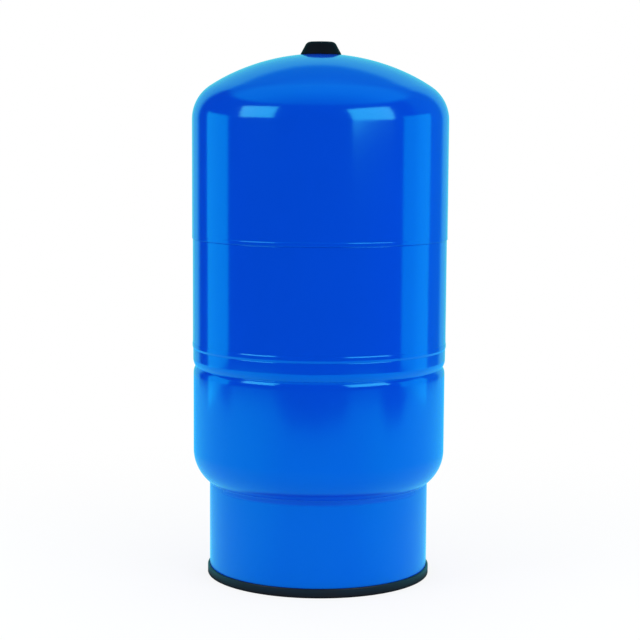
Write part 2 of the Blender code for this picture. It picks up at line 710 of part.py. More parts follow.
def make_port():
    """Pipe from the elbow to the back of the stand, and the coupling on its end."""
    pipe = turned_ring(
        "outlet_pipe",
        PIPE_RADIUS,
        PIPE_BORE_RADIUS,
        ELBOW_END - SOCKET_DEPTH + SEAT_GAP,
        COUPLING_START + SOCKET_DEPTH,
        FITTING_STEPS,
        BARE_STEEL,
    )
    lay_to_back(pipe, PORT_HEIGHT)
    finish(pipe)

    coupling = hexagon("port_coupling", COUPLING_ACROSS_FLATS, COUPLING_START, PORT_END, BARE_STEEL)
    thread = turned_rod(
        "port_thread",
        SOCKET_RADIUS,
        COUPLING_START - CUTTER_OVERRUN,
        PORT_END + CUTTER_OVERRUN,
        FITTING_STEPS,
        BARE_STEEL,
    )
    lay_to_back(coupling, PORT_HEIGHT)
    lay_to_back(thread, PORT_HEIGHT)
    combine(coupling, thread, "DIFFERENCE")
    finish(coupling)


def make_air_valve():
    """Welded boss, valve body with its hexagon and bored stem, and the ring that seals them."""
    pocket_floor = BOSS_TOP - O_RING_POCKET_DEPTH
    boss = [
        (BOSS_FLANGE_RADIUS, BOSS_TOP),
        (BOSS_FLANGE_RADIUS, FLANGE_SEAT),
        (BOSS_RADIUS, FLANGE_SEAT),
        (BOSS_RADIUS, SHANK_BOTTOM),
        (BOSS_BORE_RADIUS, SHANK_BOTTOM),
        (BOSS_BORE_RADIUS, pocket_floor),
        (O_RING_POCKET_RADIUS, pocket_floor),
        (O_RING_POCKET_RADIUS, BOSS_TOP),
    ]
    finish(turned("valve_boss", boss, VALVE_STEPS, BARE_STEEL))

    o_ring_height = pocket_floor + SEAT_GAP + O_RING_RADIUS
    o_ring = []
    for step in range(O_RING_FACETS):
        angle = math.pi / 2 - 2 * math.pi * step / O_RING_FACETS
        o_ring.append(
            (
                O_RING_CENTRE_RADIUS + O_RING_RADIUS * math.cos(angle),
                o_ring_height + O_RING_RADIUS * math.sin(angle),
            )
        )
    finish(turned("valve_o_ring", o_ring, VALVE_STEPS, RUBBER))

    hex_middle = HEX_BOTTOM + VALVE_HEX_THICKNESS / 2
    body_outline = [
        (0.0, STEM_END),
        (VALVE_STEM_RADIUS, STEM_END),
        (VALVE_STEM_RADIUS, hex_middle),
        (VALVE_SHANK_RADIUS, hex_middle),
        (VALVE_SHANK_RADIUS, SHANK_BOTTOM),
        (0.0, SHANK_BOTTOM),
    ]
    body = turned("valve_body", body_outline, VALVE_STEPS, BRASS, ring=False)
    hex_top = HEX_BOTTOM + VALVE_HEX_THICKNESS
    combine(body, hexagon("valve_hexagon", VALVE_HEX_ACROSS_FLATS, HEX_BOTTOM, hex_top, BRASS), "UNION")
    bore_outline = [
        (0.0, STEM_END + CUTTER_OVERRUN),
        (VALVE_BORE_RADIUS, STEM_END + CUTTER_OVERRUN),
        (VALVE_BORE_RADIUS, VALVE_SEAT_TOP),
        (VALVE_LOWER_BORE_RADIUS, VALVE_SEAT_TOP - VALVE_SEAT_TAPER),
        (VALVE_LOWER_BORE_RADIUS, SHANK_BOTTOM - CUTTER_OVERRUN),
        (0.0, SHANK_BOTTOM - CUTTER_OVERRUN),
    ]
    combine(body, turned("valve_bore", bore_outline, VALVE_STEPS, BRASS, ring=False), "DIFFERENCE")
    finish(body)


def make_core_housing():
    """Screwed plug of the valve core, with its neck, gasket and hollow barrel."""
    housing = [
        (CORE_PLUG_RADIUS, PLUG_TOP),
        (CORE_PLUG_RADIUS, NECK_TOP),
        (CORE_NECK_RADIUS, NECK_TOP),
        (CORE_NECK_RADIUS, BARREL_TOP),
        (CORE_BARREL_RADIUS, BARREL_TOP),
        (CORE_BARREL_RADIUS, BARREL_BOTTOM),
        (CORE_LEDGE_BORE_RADIUS, BARREL_BOTTOM),
        (CORE_LEDGE_BORE_RADIUS, LEDGE_TOP),
        (CORE_HOLLOW_RADIUS, LEDGE_TOP),
        (CORE_HOLLOW_RADIUS, HOLLOW_TOP),
        (PIN_GUIDE_RADIUS, HOLLOW_TOP),
        (PIN_GUIDE_RADIUS, PLUG_TOP),
    ]
    finish(turned("core_housing", housing, VALVE_STEPS, BRASS))
    finish(
        turned_ring(
            "core_gasket",
            CORE_NECK_RADIUS + SEAT_GAP + CORE_GASKET_WALL,
            CORE_NECK_RADIUS + SEAT_GAP,
            BARREL_TOP + SEAT_GAP,
            NECK_TOP - SEAT_GAP,
            VALVE_STEPS,
            WHITE_SEAL,
        )
    )


def make_core_pin():
    """Pin of the valve core with the cup and seal that it lifts off the barrel."""
    tail = CUP_BOTTOM - PIN_TAIL
    pin_top = STEM_END - PIN_RECESS
    pin = [
        (0.0, pin_top),
        (PIN_RADIUS, pin_top),
        (PIN_RADIUS, COLLAR_TOP),
        (PIN_COLLAR_RADIUS, COLLAR_TOP),
        (PIN_COLLAR_RADIUS, COLLAR_BOTTOM),
        (PIN_RADIUS, COLLAR_BOTTOM),
        (PIN_RADIUS, tail),
        (0.0, tail),
    ]
    finish(turned("core_pin", pin, VALVE_STEPS, BRASS, ring=False))
    bore = PIN_RADIUS + SEAT_GAP
    finish(turned_ring("core_cup", CUP_RADIUS, bore, CUP_BOTTOM, CUP_TOP, VALVE_STEPS, BRASS))
    seal_bottom = SEAL_TOP - CUP_SEAL_THICKNESS
    finish(turned_ring("core_cup_seal", CUP_SEAL_RADIUS, bore, seal_bottom, SEAL_TOP, VALVE_STEPS, RUBBER))


def make_core_spring():
    """Spring in the barrel, which pushes the pin's collar up."""
    bottom = LEDGE_TOP + SEAT_GAP + SPRING_WIRE_RADIUS
    top = COLLAR_BOTTOM - SEAT_GAP - SPRING_WIRE_RADIUS
    count = SPRING_TURNS * SPRING_POINTS_PER_TURN
    helix = []
    for step in range(count + 1):
        angle = 2 * math.pi * step / SPRING_POINTS_PER_TURN
        helix.append(
            (
                SPRING_RADIUS * math.cos(angle),
                SPRING_RADIUS * math.sin(angle),
                bottom + (top - bottom) * step / count,
            )
        )
    finish(tube("core_spring", helix, SPRING_WIRE_RADIUS, SPRING_SIDES, BARE_STEEL))


def make_valve_cap():
    """Moulded cap: round-cornered cone outside, and a collar inside that grips the boss flange."""
    base = height_at(DOME_OUTSIDE, CAP_RADIUS) + SEAT_GAP
    top = base + CAP_HEIGHT
    inner_top = top - CAP_WALL
    slope = math.tan(CAP_DRAFT)
    turn = math.pi / 2 - CAP_DRAFT
    flat_radius = CAP_RADIUS - CAP_HEIGHT * slope - CAP_CORNER_RADIUS * math.tan(turn / 2)
    profile = [(0.0, top)]
    for step in range(CAP_CORNER_FACETS + 1):
        angle = turn * step / CAP_CORNER_FACETS
        profile.append(
            (
                flat_radius + CAP_CORNER_RADIUS * math.sin(angle),
                top - CAP_CORNER_RADIUS * (1 - math.cos(angle)),
            )
        )
    inner_base_radius = CAP_RADIUS - CAP_WALL / math.cos(CAP_DRAFT)
    collar_inside = BOSS_FLANGE_RADIUS + SEAT_GAP
    collar_outside = collar_inside + CAP_COLLAR_WALL
    collar_bottom = height_at(DOME_OUTSIDE, collar_inside) + SEAT_GAP
    profile += [
        (CAP_RADIUS, base),
        (inner_base_radius, base),
        (inner_base_radius - (inner_top - base) * slope, inner_top),
        (collar_outside, inner_top),
        (collar_outside, collar_bottom),
        (collar_inside, collar_bottom),
        (collar_inside, inner_top),
        (0.0, inner_top),
    ]
    finish(turned("valve_cap", profile, CAP_STEPS, BLACK_PLASTIC, ring=False))


clear_scene()
TANK = new_collection("well_pressure_tank")
TOOLS = new_collection("tools")
BLUE_PAINT = principled("blue_paint", (0.003, 0.063, 0.66), 0.16, 0.0)
BLACK_PLASTIC = principled("black_plastic", (0.008, 0.009, 0.011), 0.45, 0.0)
LINER_PLASTIC = principled("liner_plastic", (0.72, 0.73, 0.70), 0.40, 0.0)
RUBBER = principled("rubber", (0.015, 0.015, 0.016), 0.70, 0.0)
WHITE_SEAL = principled("white_seal", (0.85, 0.85, 0.83), 0.45, 0.0)
BARE_STEEL = principled("bare_steel", (0.56, 0.56, 0.54), 0.30, 1.0)
BRASS = principled("brass", (0.72, 0.50, 0.18), 0.28, 1.0)

make_upper_shell()
make_shell_band()
make_lower_shell()
make_base_skirt()
make_base_ring()
make_chamber_liner()
make_diaphragm()
make_clamp_ring()
make_inlet()
make_inlet_elbow()
make_port()
make_air_valve()
make_core_housing()
make_core_pin()
make_core_spring()
make_valve_cap()
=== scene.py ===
"""Looks of the well pressure tank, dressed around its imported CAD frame.

Metres, +Z up, front to -Y. The shells, the stand, the cap, the fittings and the valve's spring are made
again as fine surfaces in the places that the CAD gives. The other parts inside keep their solids and get
finishes.
"""

import math

import bmesh
import bpy
import numpy as np
from mathutils import Matrix, Vector


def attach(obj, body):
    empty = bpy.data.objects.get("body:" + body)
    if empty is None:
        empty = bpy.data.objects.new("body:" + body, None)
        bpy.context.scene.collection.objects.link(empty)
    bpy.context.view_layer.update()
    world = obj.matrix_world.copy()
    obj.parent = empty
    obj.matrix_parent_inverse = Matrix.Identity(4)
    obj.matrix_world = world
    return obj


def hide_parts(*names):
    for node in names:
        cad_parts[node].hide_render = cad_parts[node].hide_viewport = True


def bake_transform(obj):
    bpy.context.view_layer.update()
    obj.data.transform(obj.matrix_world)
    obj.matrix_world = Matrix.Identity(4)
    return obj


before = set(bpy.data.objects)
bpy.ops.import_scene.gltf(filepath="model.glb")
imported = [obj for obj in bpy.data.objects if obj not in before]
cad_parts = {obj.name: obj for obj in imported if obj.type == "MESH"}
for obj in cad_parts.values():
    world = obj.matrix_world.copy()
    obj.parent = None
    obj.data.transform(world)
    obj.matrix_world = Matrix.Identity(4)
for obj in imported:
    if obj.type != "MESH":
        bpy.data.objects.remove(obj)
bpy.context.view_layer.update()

# Outside of the pressed and rolled shells
SHELL_RADIUS = 0.1953
SHELL_WALL = 0.0015
BAND_RADIUS = 0.1943
FLARE_RADIUS = 0.1949
COLLAR_RADIUS = 0.1939
LOWER_RADIUS = 0.1934
TOP_SHOULDER = 0.6999
BOTTOM_SHOULDER = 0.1939
UPPER_SEAM = 0.5219
LOWER_SEAM = 0.3538

# Pressed heads: crown, middle and knuckle arcs
CROWN_RADIUS = 0.3160
MIDDLE_RADIUS = 0.2600
MIDDLE_SPAN = math.radians(7.6)
KNUCKLE_RADIUS = 0.0605
VALVE_HOLE = 0.0095          # in the dome
INLET_HOLE = 0.0172          # in the bottom head
INLET_FLAT = 0.0360          # flat round the inlet's hole

# Lapped and welded girth seams
UPPER_LAP = 0.0120           # height of the band inside the upper shell
LOWER_LAP = 0.0080           # height of the collar inside the band
UPPER_LAP_STEP = 0.0009      # how far the band steps in for its lap
LOWER_LAP_STEP = 0.0008      # and the collar for its own
WELD_PROUD = 0.0001          # how far the welds stand out, and their toes in
WELD_FOOT = 0.0027           # from the upper seam down to the weld's lower edge
TOE_FOOT = 0.0026            # from the lower seam down to its toe's lower edge
FLARE_TOP = 0.0056           # top of the band's flare, over the lower seam
FLARE_TAPER_TOP = 0.0178     # and top of the taper above it

# Rolled groove
GROOVE_HEIGHT = 0.3235
GROOVE_DEPTH = 0.0031
GROOVE_UPPER_FLANK = 0.0115
GROOVE_LOWER_FLANK = 0.0124
GROOVE_ROOT_HEIGHT = 0.0010

# Stand and its moulded foot ring
SKIRT_RADIUS = 0.1684
SKIRT_WALL = 0.0015
RING_RADIUS = 0.1715
RING_INSIDE = 0.1640
RING_HEIGHT = 0.0139
RING_WEB = 0.0030
JOINT_FILLET = 0.0018        # weld between the bottom head and the stand
CORNER_SHADE_LOW = (0.1362, 0.1396)    # from plain to painted shade and dull gloss, going up to the corner under the head
CORNER_SHADE_HIGH = (0.150, 0.146)     # and going down to it

# Water port at the back
PORT_HEIGHT = 0.05232
PORT_HOLE_RADIUS = 0.02817
PORT_END = 0.1848
COUPLING_LENGTH = 0.0330
COUPLING_FLATS = 0.0410
PIPE_RADIUS = 0.0167
PIPE_BORE = 0.0133
PIPE_PITCH = 0.0023
SOCKET_RADIUS = 0.0170
SOCKET_DEPTH = 0.0140
ELBOW_RADIUS = 0.0210
ELBOW_BEND = 0.0220
ELBOW_COLLAR_RADIUS = 0.0235
ELBOW_COLLAR_HEIGHT = 0.0070
LOCKNUT_TOP = 0.09562
LOCKNUT_HEIGHT = 0.0070
LOCKNUT_FLATS = 0.0460
WASHER_TOP = 0.09742
WASHER_HEIGHT = 0.0015
WASHER_RADIUS = 0.0270

# Air valve in the dome
BOSS_RADIUS = 0.0140
BOSS_TOP = 0.80186
BOSS_SEAT = 0.79946
BOSS_SHANK_RADIUS = 0.0092
BOSS_BORE = 0.0068
SHANK_BOTTOM = 0.79046
POCKET_RADIUS = 0.0087
POCKET_FLOOR = 0.79996
VALVE_SHANK_RADIUS = 0.0065
VALVE_FLATS = 0.0140
VALVE_HEX_BOTTOM = 0.80216
VALVE_HEX_TOP = 0.80516
STEM_RADIUS = 0.00385
STEM_TOP = 0.81316
STEM_BORE = 0.00265
STEM_LOWER_BORE = 0.00230
STEM_SEAT = 0.80696
STEM_PITCH = 0.0008
SPRING_RADIUS = 0.00118
SPRING_WIRE = 0.00017
SPRING_BOTTOM = 0.79816
SPRING_TOP = 0.80286
SPRING_TURNS = 6             # the first and the last lie closed
CLOSED_TURN = 2.1            # height of a closed turn, in radii of the wire

# Cap over the air valve
CAP_RADIUS = 0.0313
CAP_BOTTOM = 0.79805
CAP_TOP = 0.81725
CAP_DRAFT = math.radians(28.4)
CAP_CORNER = 0.0090
CAP_WALL = 0.0020
GRIP_OUTSIDE = 0.0158        # grip collar inside the cap
GRIP_INSIDE = 0.0143
GRIP_LIFT = 0.0013

# Fineness
COLUMNS = 288
SHARP_ANGLE = math.radians(32)
SUPPORT = 0.0004             # edge loop beside a fillet, so that the long face next to it shades flat
MERGED = 1e-7                # points closer than this become one

# Camera, measured on the photograph's outline
LENS = 101.485
SENSOR = 36.0
CAMERA_PLACE = (0.0, -2.7623, 0.7001)
CAMERA_PITCH = math.radians(6.341)
CAMERA_ROLL = math.radians(0.349)
CAMERA_SHIFT = 0.0010

# Studio
WHITE = (1.0, 1.0, 1.0, 1.0)
MIRRORED_STUDIO = (0.03, 0.92, 1.35, 1.0)
MIRRORED_BACKDROP = (0.15, 0.91, 0.87, 1.0)
MIRRORED_FLOOR = (0.09, 0.90, 1.30, 1.0)
MIRRORED_GLOW = (0.11, 1.20, 1.42, 1.0)
# Painted contact shadow: the dark that the floor shows to mirrored rays round the foot ring
PAINTED_CONTACT_SHADOW = (0.006, 0.012, 0.016, 1.0)
# Edge of the floor sheet: bearing from the front, positive to the left, and distance from the tank
FLOOR_BEARINGS = (-180, -110, -85, -74, -60, -52, -30, -20, 0, 20, 28, 34, 42, 78, 88, 100, 180)
FLOOR_REACHES = (
    2.3, 2.2, 2.1, 1.74, 1.74, 2.10, 2.12, 1.80, 1.68, 1.71, 1.80, 1.95, 2.15, 2.20, 1.95, 2.1, 2.3,
)
STAND_EDGE = (0.160, 0.168)      # the floor is plain outside the stand
PAINTED_SHADOW_EDGE = (0.172, 0.212)    # painted contact shadow that it mirrors near the foot ring
PLAIN_EDGE = (0.30, 1.20)        # and the object's shadow fades out
RIGHT_WALL_LEVEL = 0.28
DARK_LEVEL = 0.02            # of the darkest parts of the room
FILL_LEVEL = 0.30            # of the light that isn't mirrored
WATTS_PER_RADIANCE = 4.0     # an area lamp's power for each square metre and unit of radiance


def arc(centre, radius, start, end, steps):
    """Points on a circle: the angle runs from straight up towards the outside, in equal steps."""
    angles = np.linspace(start, end, steps + 1)
    return np.column_stack((centre[0] + radius * np.sin(angles), centre[1] + radius * np.cos(angles)))


def head(shell_radius, shoulder, side, inset, inner_radius, crown_steps=40, knuckle_steps=26):
    """Section of a pressed head, from the inner radius out to the shoulder.

    Three arcs that share a tangent where they meet. The angle at which the knuckle begins comes from the
    need that it ends upright at the shell's radius.
    """
    crown_to_middle = CROWN_RADIUS - MIDDLE_RADIUS
    middle_to_knuckle = MIDDLE_RADIUS - KNUCKLE_RADIUS
    along = crown_to_middle * math.cos(MIDDLE_SPAN) + middle_to_knuckle
    across = crown_to_middle * math.sin(MIDDLE_SPAN)
    reach = (shell_radius - KNUCKLE_RADIUS) / math.hypot(along, across)
    knuckle_angle = math.asin(reach) + math.atan2(across, along)
    crown_angle = knuckle_angle - MIDDLE_SPAN
    knuckle_centre = (shell_radius - KNUCKLE_RADIUS, 0.0)
    middle_height = -middle_to_knuckle * math.cos(knuckle_angle)
    middle_centre = (crown_to_middle * math.sin(crown_angle), middle_height)
    crown_centre = (0.0, middle_centre[1] - crown_to_middle * math.cos(crown_angle))
    first_angle = math.asin(inner_radius / (CROWN_RADIUS - inset))
    crown = arc(crown_centre, CROWN_RADIUS - inset, first_angle, crown_angle, crown_steps)
    middle = arc(middle_centre, MIDDLE_RADIUS - inset, crown_angle, knuckle_angle, 10)
    knuckle = arc(knuckle_centre, KNUCKLE_RADIUS - inset, knuckle_angle, math.pi / 2, knuckle_steps)
    points = np.concatenate((crown, middle[1:], knuckle[1:]))
    return points * (1.0, side) + (0.0, shoulder)


def rounded(corners, steps=5):
    """Polyline of (radius, height, fillet) corners, each turned by an arc of its fillet radius.

    The arc's centre lies on the corner's bisector, and its ends are where it touches the two sides. A
    point a little beyond each end keeps the long faces beside the fillet flat.
    """
    points = [np.array(corners[0][:2])]
    for before, corner, after in zip(corners, corners[1:], corners[2:]):
        place = np.array(corner[:2])
        fillet = corner[2]
        if fillet == 0.0:
            points.append(place)
            continue
        back = np.array(before[:2]) - place
        ahead = np.array(after[:2]) - place
        room_back = np.linalg.norm(back)
        room_ahead = np.linalg.norm(ahead)
        back = back / room_back
        ahead = ahead / room_ahead
        half = math.acos(np.clip(back @ ahead, -1.0, 1.0)) / 2
        touch = fillet / math.tan(half)
        bisector = (back + ahead) / np.linalg.norm(back + ahead)
        centre = place + bisector * fillet / math.sin(half)
        first = place + back * touch - centre
        last = place + ahead * touch - centre
        turn = math.pi - 2 * half
        share = np.linspace(0.0, 1.0, steps + 1)[:, None]
        swept = np.sin((1 - share) * turn) * first + np.sin(share * turn) * last
        bend = centre + swept / math.sin(turn)
        if room_back > touch + 2 * SUPPORT:
            points.append(place + back * (touch + SUPPORT))
        points.extend(bend)
        if room_ahead > touch + 2 * SUPPORT:
            points.append(place + ahead * (touch + SUPPORT))
    points.append(np.array(corners[-1][:2]))
    return np.array(points)


def evenly(radius, start, end, spacing):
    """Profile points at one radius, from one height to another, no further apart than the spacing."""
    heights = np.linspace(start, end, math.ceil(abs(end - start) / spacing) + 1)
    return np.column_stack((np.full_like(heights, radius), heights))


def hexagonal(radii, angles, across_flats):
    """Radii cut to a hexagon with a corner at angle 0: half the flats' distance over the cosine."""
    return np.minimum(radii, across_flats / 2 / np.cos(np.mod(angles, np.pi / 3) - np.pi / 6))


def hex_side(across_flats, top, bottom):
    """Outer profile of a nut, chamfered by 30 degrees at both ends and run out past its corners."""
    corner = across_flats / 2 / math.cos(math.pi / 6)
    face = across_flats / 2 * 0.98
    drop = (corner - face) * math.tan(math.radians(30))
    shares = np.linspace(0.0, 1.0, 9)[:, None]
    upper = (face, top) + shares * (corner - face, -drop)
    lower = (corner, bottom + drop) + shares * (face - corner, -drop)
    return np.concatenate((upper, lower))


def thread(heights, angles, pitch, start, end):
    """Rounded helical ridge: half of one plus the cosine of the turn's phase, faded in at both ends."""
    ridge = 0.5 + 0.5 * np.cos(2 * np.pi * heights / pitch - angles)
    inside = np.minimum(heights - start, end - heights) / (0.8 * pitch)
    return ridge * np.clip(inside, 0.0, 1.0)


def grid_mesh(name, places, ring):
    """Mesh on a grid of points, rows by columns by 3.

    The columns close on themselves, and so do the rows if it is a ring.
    """
    rows, columns, _ = places.shape
    upper = np.arange(rows * columns).reshape(rows, columns)
    lower = np.roll(upper, -1, axis=0)
    if not ring:
        upper = upper[:-1]
        lower = lower[:-1]
    quads = np.stack((upper, lower, np.roll(lower, -1, axis=1), np.roll(upper, -1, axis=1)), axis=-1)
    mesh = bpy.data.meshes.new(name)
    mesh.from_pydata(places.reshape(-1, 3).tolist(), [], quads.reshape(-1, 4).tolist())
    bm = bmesh.new()
    bm.from_mesh(mesh)
    bmesh.ops.remove_doubles(bm, verts=bm.verts, dist=MERGED)
    bm.to_mesh(mesh)
    bm.free()
    return mesh


def new_piece(name, mesh, body, material):
    """Puts a mesh in the scene as a piece, smooth between its sharp edges.

    It rides on the body, if it is given one.
    """
    mesh.shade_smooth()
    mesh.set_sharp_from_angle(angle=SHARP_ANGLE)
    piece = bpy.data.objects.new(name, mesh)
    bpy.context.scene.collection.objects.link(piece)
    mesh.materials.append(material)
    if body:
        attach(piece, body)
    return piece


def upright(radii, heights, angles):
    """Grid about the Z axis: each row has its height and its radius, and each column its angle."""
    heights = np.broadcast_to(heights, radii.shape)
    return np.stack((radii * np.sin(angles), -radii * np.cos(angles), heights), axis=-1)


def lying(radii, reaches, angles):
    """Grid about the port's axis, which runs to +Y at the port's height."""
    reaches = np.broadcast_to(reaches, radii.shape)
    return np.stack((radii * np.sin(angles), reaches, PORT_HEIGHT + radii * np.cos(angles)), axis=-1)


def along_elbow(radii, lengths, angles):
    """Grid along the elbow's centre line, from its back face to its top one.

    The line runs straight for the socket's depth, turns up through a quarter circle, and runs straight
    again. Angle 0 is on the outside of the bend.
    """
    turn = np.clip((lengths - SOCKET_DEPTH) / ELBOW_BEND, 0.0, np.pi / 2)
    before = np.clip(lengths, 0.0, SOCKET_DEPTH)
    after = np.clip(lengths - SOCKET_DEPTH - ELBOW_BEND * np.pi / 2, 0.0, None)
    line_y = SOCKET_DEPTH + ELBOW_BEND - before - ELBOW_BEND * np.sin(turn)
    line_z = PORT_HEIGHT + ELBOW_BEND * (1 - np.cos(turn)) + after
    outward = radii * np.cos(angles)
    places = (radii * np.sin(angles), line_y - outward * np.sin(turn), line_z - outward * np.cos(turn))
    return np.stack(places, axis=-1)


def turned(name, profile, ring=True, columns=COLUMNS, place=upright, shape=None):
    """Surface of revolution: each profile point (radius, height) goes once round the axis.

    The profile runs down its outer side. Along the port's axis, height is the reach to the back. A shape
    changes the radii by height and angle.
    """
    profile = np.asarray(profile)
    heights = profile[:, 1:]
    angles = np.arange(columns) * 2 * np.pi / columns
    radii = np.repeat(profile[:, :1], columns, axis=1)
    if shape:
        radii = shape(radii, heights, angles)
    return grid_mesh(name, place(radii, heights, angles), ring)


class Value:
    """A number that varies over a surface. Operators on it add Math nodes to its tree."""

    def __init__(self, tree, socket):
        self.tree = tree
        self.socket = socket

    def math(self, operation, other):
        return self.tree.node("ShaderNodeMath", {"operation": operation}, {0: self, 1: other})

    def reflected(self, operation, other):
        return self.tree.node("ShaderNodeMath", {"operation": operation}, {0: other, 1: self})

    def __add__(self, other):
        return self.math("ADD", other)

    def __radd__(self, other):
        return self.reflected("ADD", other)

    def __sub__(self, other):
        return self.math("SUBTRACT", other)

    def __rsub__(self, other):
        return self.reflected("SUBTRACT", other)

    def __mul__(self, other):
        return self.math("MULTIPLY", other)

    def __rmul__(self, other):
        return self.reflected("MULTIPLY", other)

    def __truediv__(self, other):
        return self.math("DIVIDE", other)

    def __neg__(self):
        return self.math("MULTIPLY", -1.0)

    def __pow__(self, other):
        return self.math("POWER", other)


class Tree:
    """A node tree of a material or of the world, with one way to add a node."""

    def __init__(self, owner):
        owner.use_nodes = True
        self.nodes = owner.node_tree.nodes
        self.links = owner.node_tree.links

    def node(self, kind, settings=None, inputs=None, output=0):
        """Adds a node: its settings first, then the values or links of its sockets."""
        node = self.nodes.new(kind)
        for key, setting in (settings or {}).items():
            if key == "stops":
                self.set_stops(node.color_ramp, setting)
            else:
                setattr(node, key, setting)
        self.feed(node, inputs or {})
        return Value(self, node.outputs[output])

    def feed(self, node, inputs):
        """Sets or links a node's sockets."""
        for key, value in inputs.items():
            if isinstance(value, Value):
                self.links.new(value.socket, node.inputs[key])
            else:
                node.inputs[key].default_value = value

    def set_stops(self, ramp, stops):
        """Sets a ramp's stops, each a position and a grey level."""
        while len(ramp.elements) < len(stops):
            ramp.elements.new(1.0)
        for element, (position, level) in zip(ramp.elements, stops):
            element.position = position
            element.color = (level, level, level, 1.0)

    def place(self):
        """Object coordinates, which are metres from the middle of the tank's foot."""
        return self.node("ShaderNodeTexCoord", output="Object")

    def axis(self, vector, name):
        """One axis of a vector."""
        return self.node("ShaderNodeSeparateXYZ", {}, {0: vector}, output=name)

    def stretched(self, vector, scale):
        """Coordinates with each axis scaled, for a pattern that is long in one direction."""
        return self.node("ShaderNodeVectorMath", {"operation": "MULTIPLY"}, {0: vector, 1: scale})

    def noise(self, vector, scale, detail=2.0, roughness=0.5):
        """Noise about 0.5, with this many cells to a metre."""
        inputs = {"Vector": vector, "Scale": scale, "Detail": detail, "Roughness": roughness}
        return self.node("ShaderNodeTexNoise", {}, inputs)

    def between(self, value, low, high, low_result=0.0, high_result=1.0):
        """Smooth rise from one result to another as the value goes from low to high."""
        inputs = {"Value": value, 1: low, 2: high, 3: low_result, 4: high_result}
        return self.node("ShaderNodeMapRange", {"interpolation_type": "SMOOTHSTEP"}, inputs)

    def mixed(self, share, first, second):
        """Colour that goes from the first to the second with the share."""
        inputs = {0: share, 6: first, 7: second}
        return self.node("ShaderNodeMix", {"data_type": "RGBA"}, inputs, output=2)

    def bumped(self, height, distance):
        """Normal bent by a height pattern, where distance is its depth in metres."""
        return self.node("ShaderNodeBump", {}, {"Height": height, "Distance": distance})

    def surface(self, shader, colour, roughness, normal):
        """Feeds a shader what changes over the surface."""
        self.feed(shader, {"Base Color": colour, "Roughness": roughness, "Normal": normal})

    def rays(self):
        """Whether a ray comes from the camera, and whether it is mirrored or refracted."""
        camera = self.node("ShaderNodeLightPath", output="Is Camera Ray")
        glossy = self.node("ShaderNodeLightPath", output="Is Glossy Ray")
        transmission = self.node("ShaderNodeLightPath", output="Is Transmission Ray")
        return camera, glossy + transmission


def finish_of(name, colour, roughness, metallic=0.0, **sockets):
    """A material with its tree and its shader, and the values that are the same all over it."""
    material = bpy.data.materials.new(name)
    tree = Tree(material)
    shader = tree.nodes["Principled BSDF"]
    shader.inputs["Base Color"].default_value = (*colour, 1.0)
    shader.inputs["Roughness"].default_value = roughness
    shader.inputs["Metallic"].default_value = metallic
    for key, value in sockets.items():
        shader.inputs[key.replace("_", " ")].default_value = value
    return material, tree, shader


def blue_paint(name, welded_and_shaded):
    """Gloss stoving enamel: faint orange peel, a slightly uneven coat and a little settled dust.

    Rolled sheet has a weld up its back; in the corner under the head the gloss is dull and the colour
    painted dark as shade.
    """
    material, tree, shader = finish_of(
        name,
        (0.0006, 0.063, 0.67),
        0.12,
        Specular_IOR_Level=1.0,
        Specular_Tint=(0.07, 1.0, 1.0, 1.0),
    )
    place = tree.place()
    cloud = tree.noise(place, 9.0, 3.0)
    coat = tree.mixed(cloud, (0.0006, 0.062, 0.65, 1.0), (0.0006, 0.065, 0.69, 1.0))
    peel = tree.noise(place, 260.0, 2.0, 0.45)
    ripple = tree.noise(place, 34.0, 1.0)
    dust = tree.between(tree.noise(place, 950.0, 1.0), 0.70, 0.82)
    height = peel + ripple * 2.0 + dust * 0.6
    gloss_loss = 0.03 * cloud + 0.05 * dust
    if welded_and_shaded:
        across = tree.axis(place, "X")
        up = tree.axis(place, "Z")
        at_back = tree.between(tree.axis(place, "Y"), 0.0, 0.1)
        beside = (across * across) ** 0.5
        bead = tree.between(beside, 0.0034, 0.0020) * at_back
        scales = tree.noise(tree.stretched(place, (0.3, 0.3, 1.0)), 420.0, 1.0)
        bead_height = 60.0 + 16.0 * scales
        height = height + bead * bead_height
        facing = tree.node("ShaderNodeLayerWeight", output="Facing")
        # Painted shade in the corner under the head: the colour darkens there, more at grazing angles,
        # and the gloss dulls
        corner_shade_band = tree.between(up, *CORNER_SHADE_LOW) * tree.between(up, *CORNER_SHADE_HIGH)
        corner = corner_shade_band * (1.0 - facing) ** 1.5
        coat = tree.mixed(corner, coat, (0.0004, 0.038, 0.64, 1.0))
        gloss_loss = gloss_loss + 0.5 * corner
    tree.surface(shader, coat, 0.105 + gloss_loss, tree.bumped(height, 0.0000045))
    return material


def black_plastic(name, gloss, roughness):
    """Moulded polypropylene: fine spark-eroded grain, with a slight sheen and rubbed patches."""
    material, tree, shader = finish_of(
        name,
        (0.0030, 0.0038, 0.0048),
        roughness,
        Specular_IOR_Level=gloss,
        Specular_Tint=(1.0, 0.82, 1.0, 1.0),
    )
    place = tree.place()
    grain = tree.noise(place, 1500.0, 2.0, 0.6)
    rubbed = tree.between(tree.noise(place, 22.0, 3.0), 0.35, 0.75)
    colour = tree.mixed(rubbed, (0.0024, 0.0032, 0.0042, 1.0), (0.0040, 0.0050, 0.0060, 1.0))
    rough = roughness - 0.06 + 0.10 * rubbed + 0.08 * grain
    tree.surface(shader, colour, rough, tree.bumped(grain, 0.00003))
    return material


def zinc_plate():
    """Zinc plated steel fitting: bright, faintly mottled, with turning marks round its axis."""
    material, tree, shader = finish_of("zinc_plated_steel", (0.58, 0.58, 0.56), 0.30, 0.25)
    place = tree.place()
    mottle = tree.noise(place, 120.0, 3.0)
    fine = tree.noise(place, 1400.0, 2.0)
    colour = tree.mixed(mottle, (0.50, 0.50, 0.48, 1.0), (0.66, 0.66, 0.65, 1.0))
    rough = 0.22 + 0.14 * mottle + 0.08 * fine
    tree.surface(shader, colour, rough, tree.bumped(fine, 0.00001))
    return material


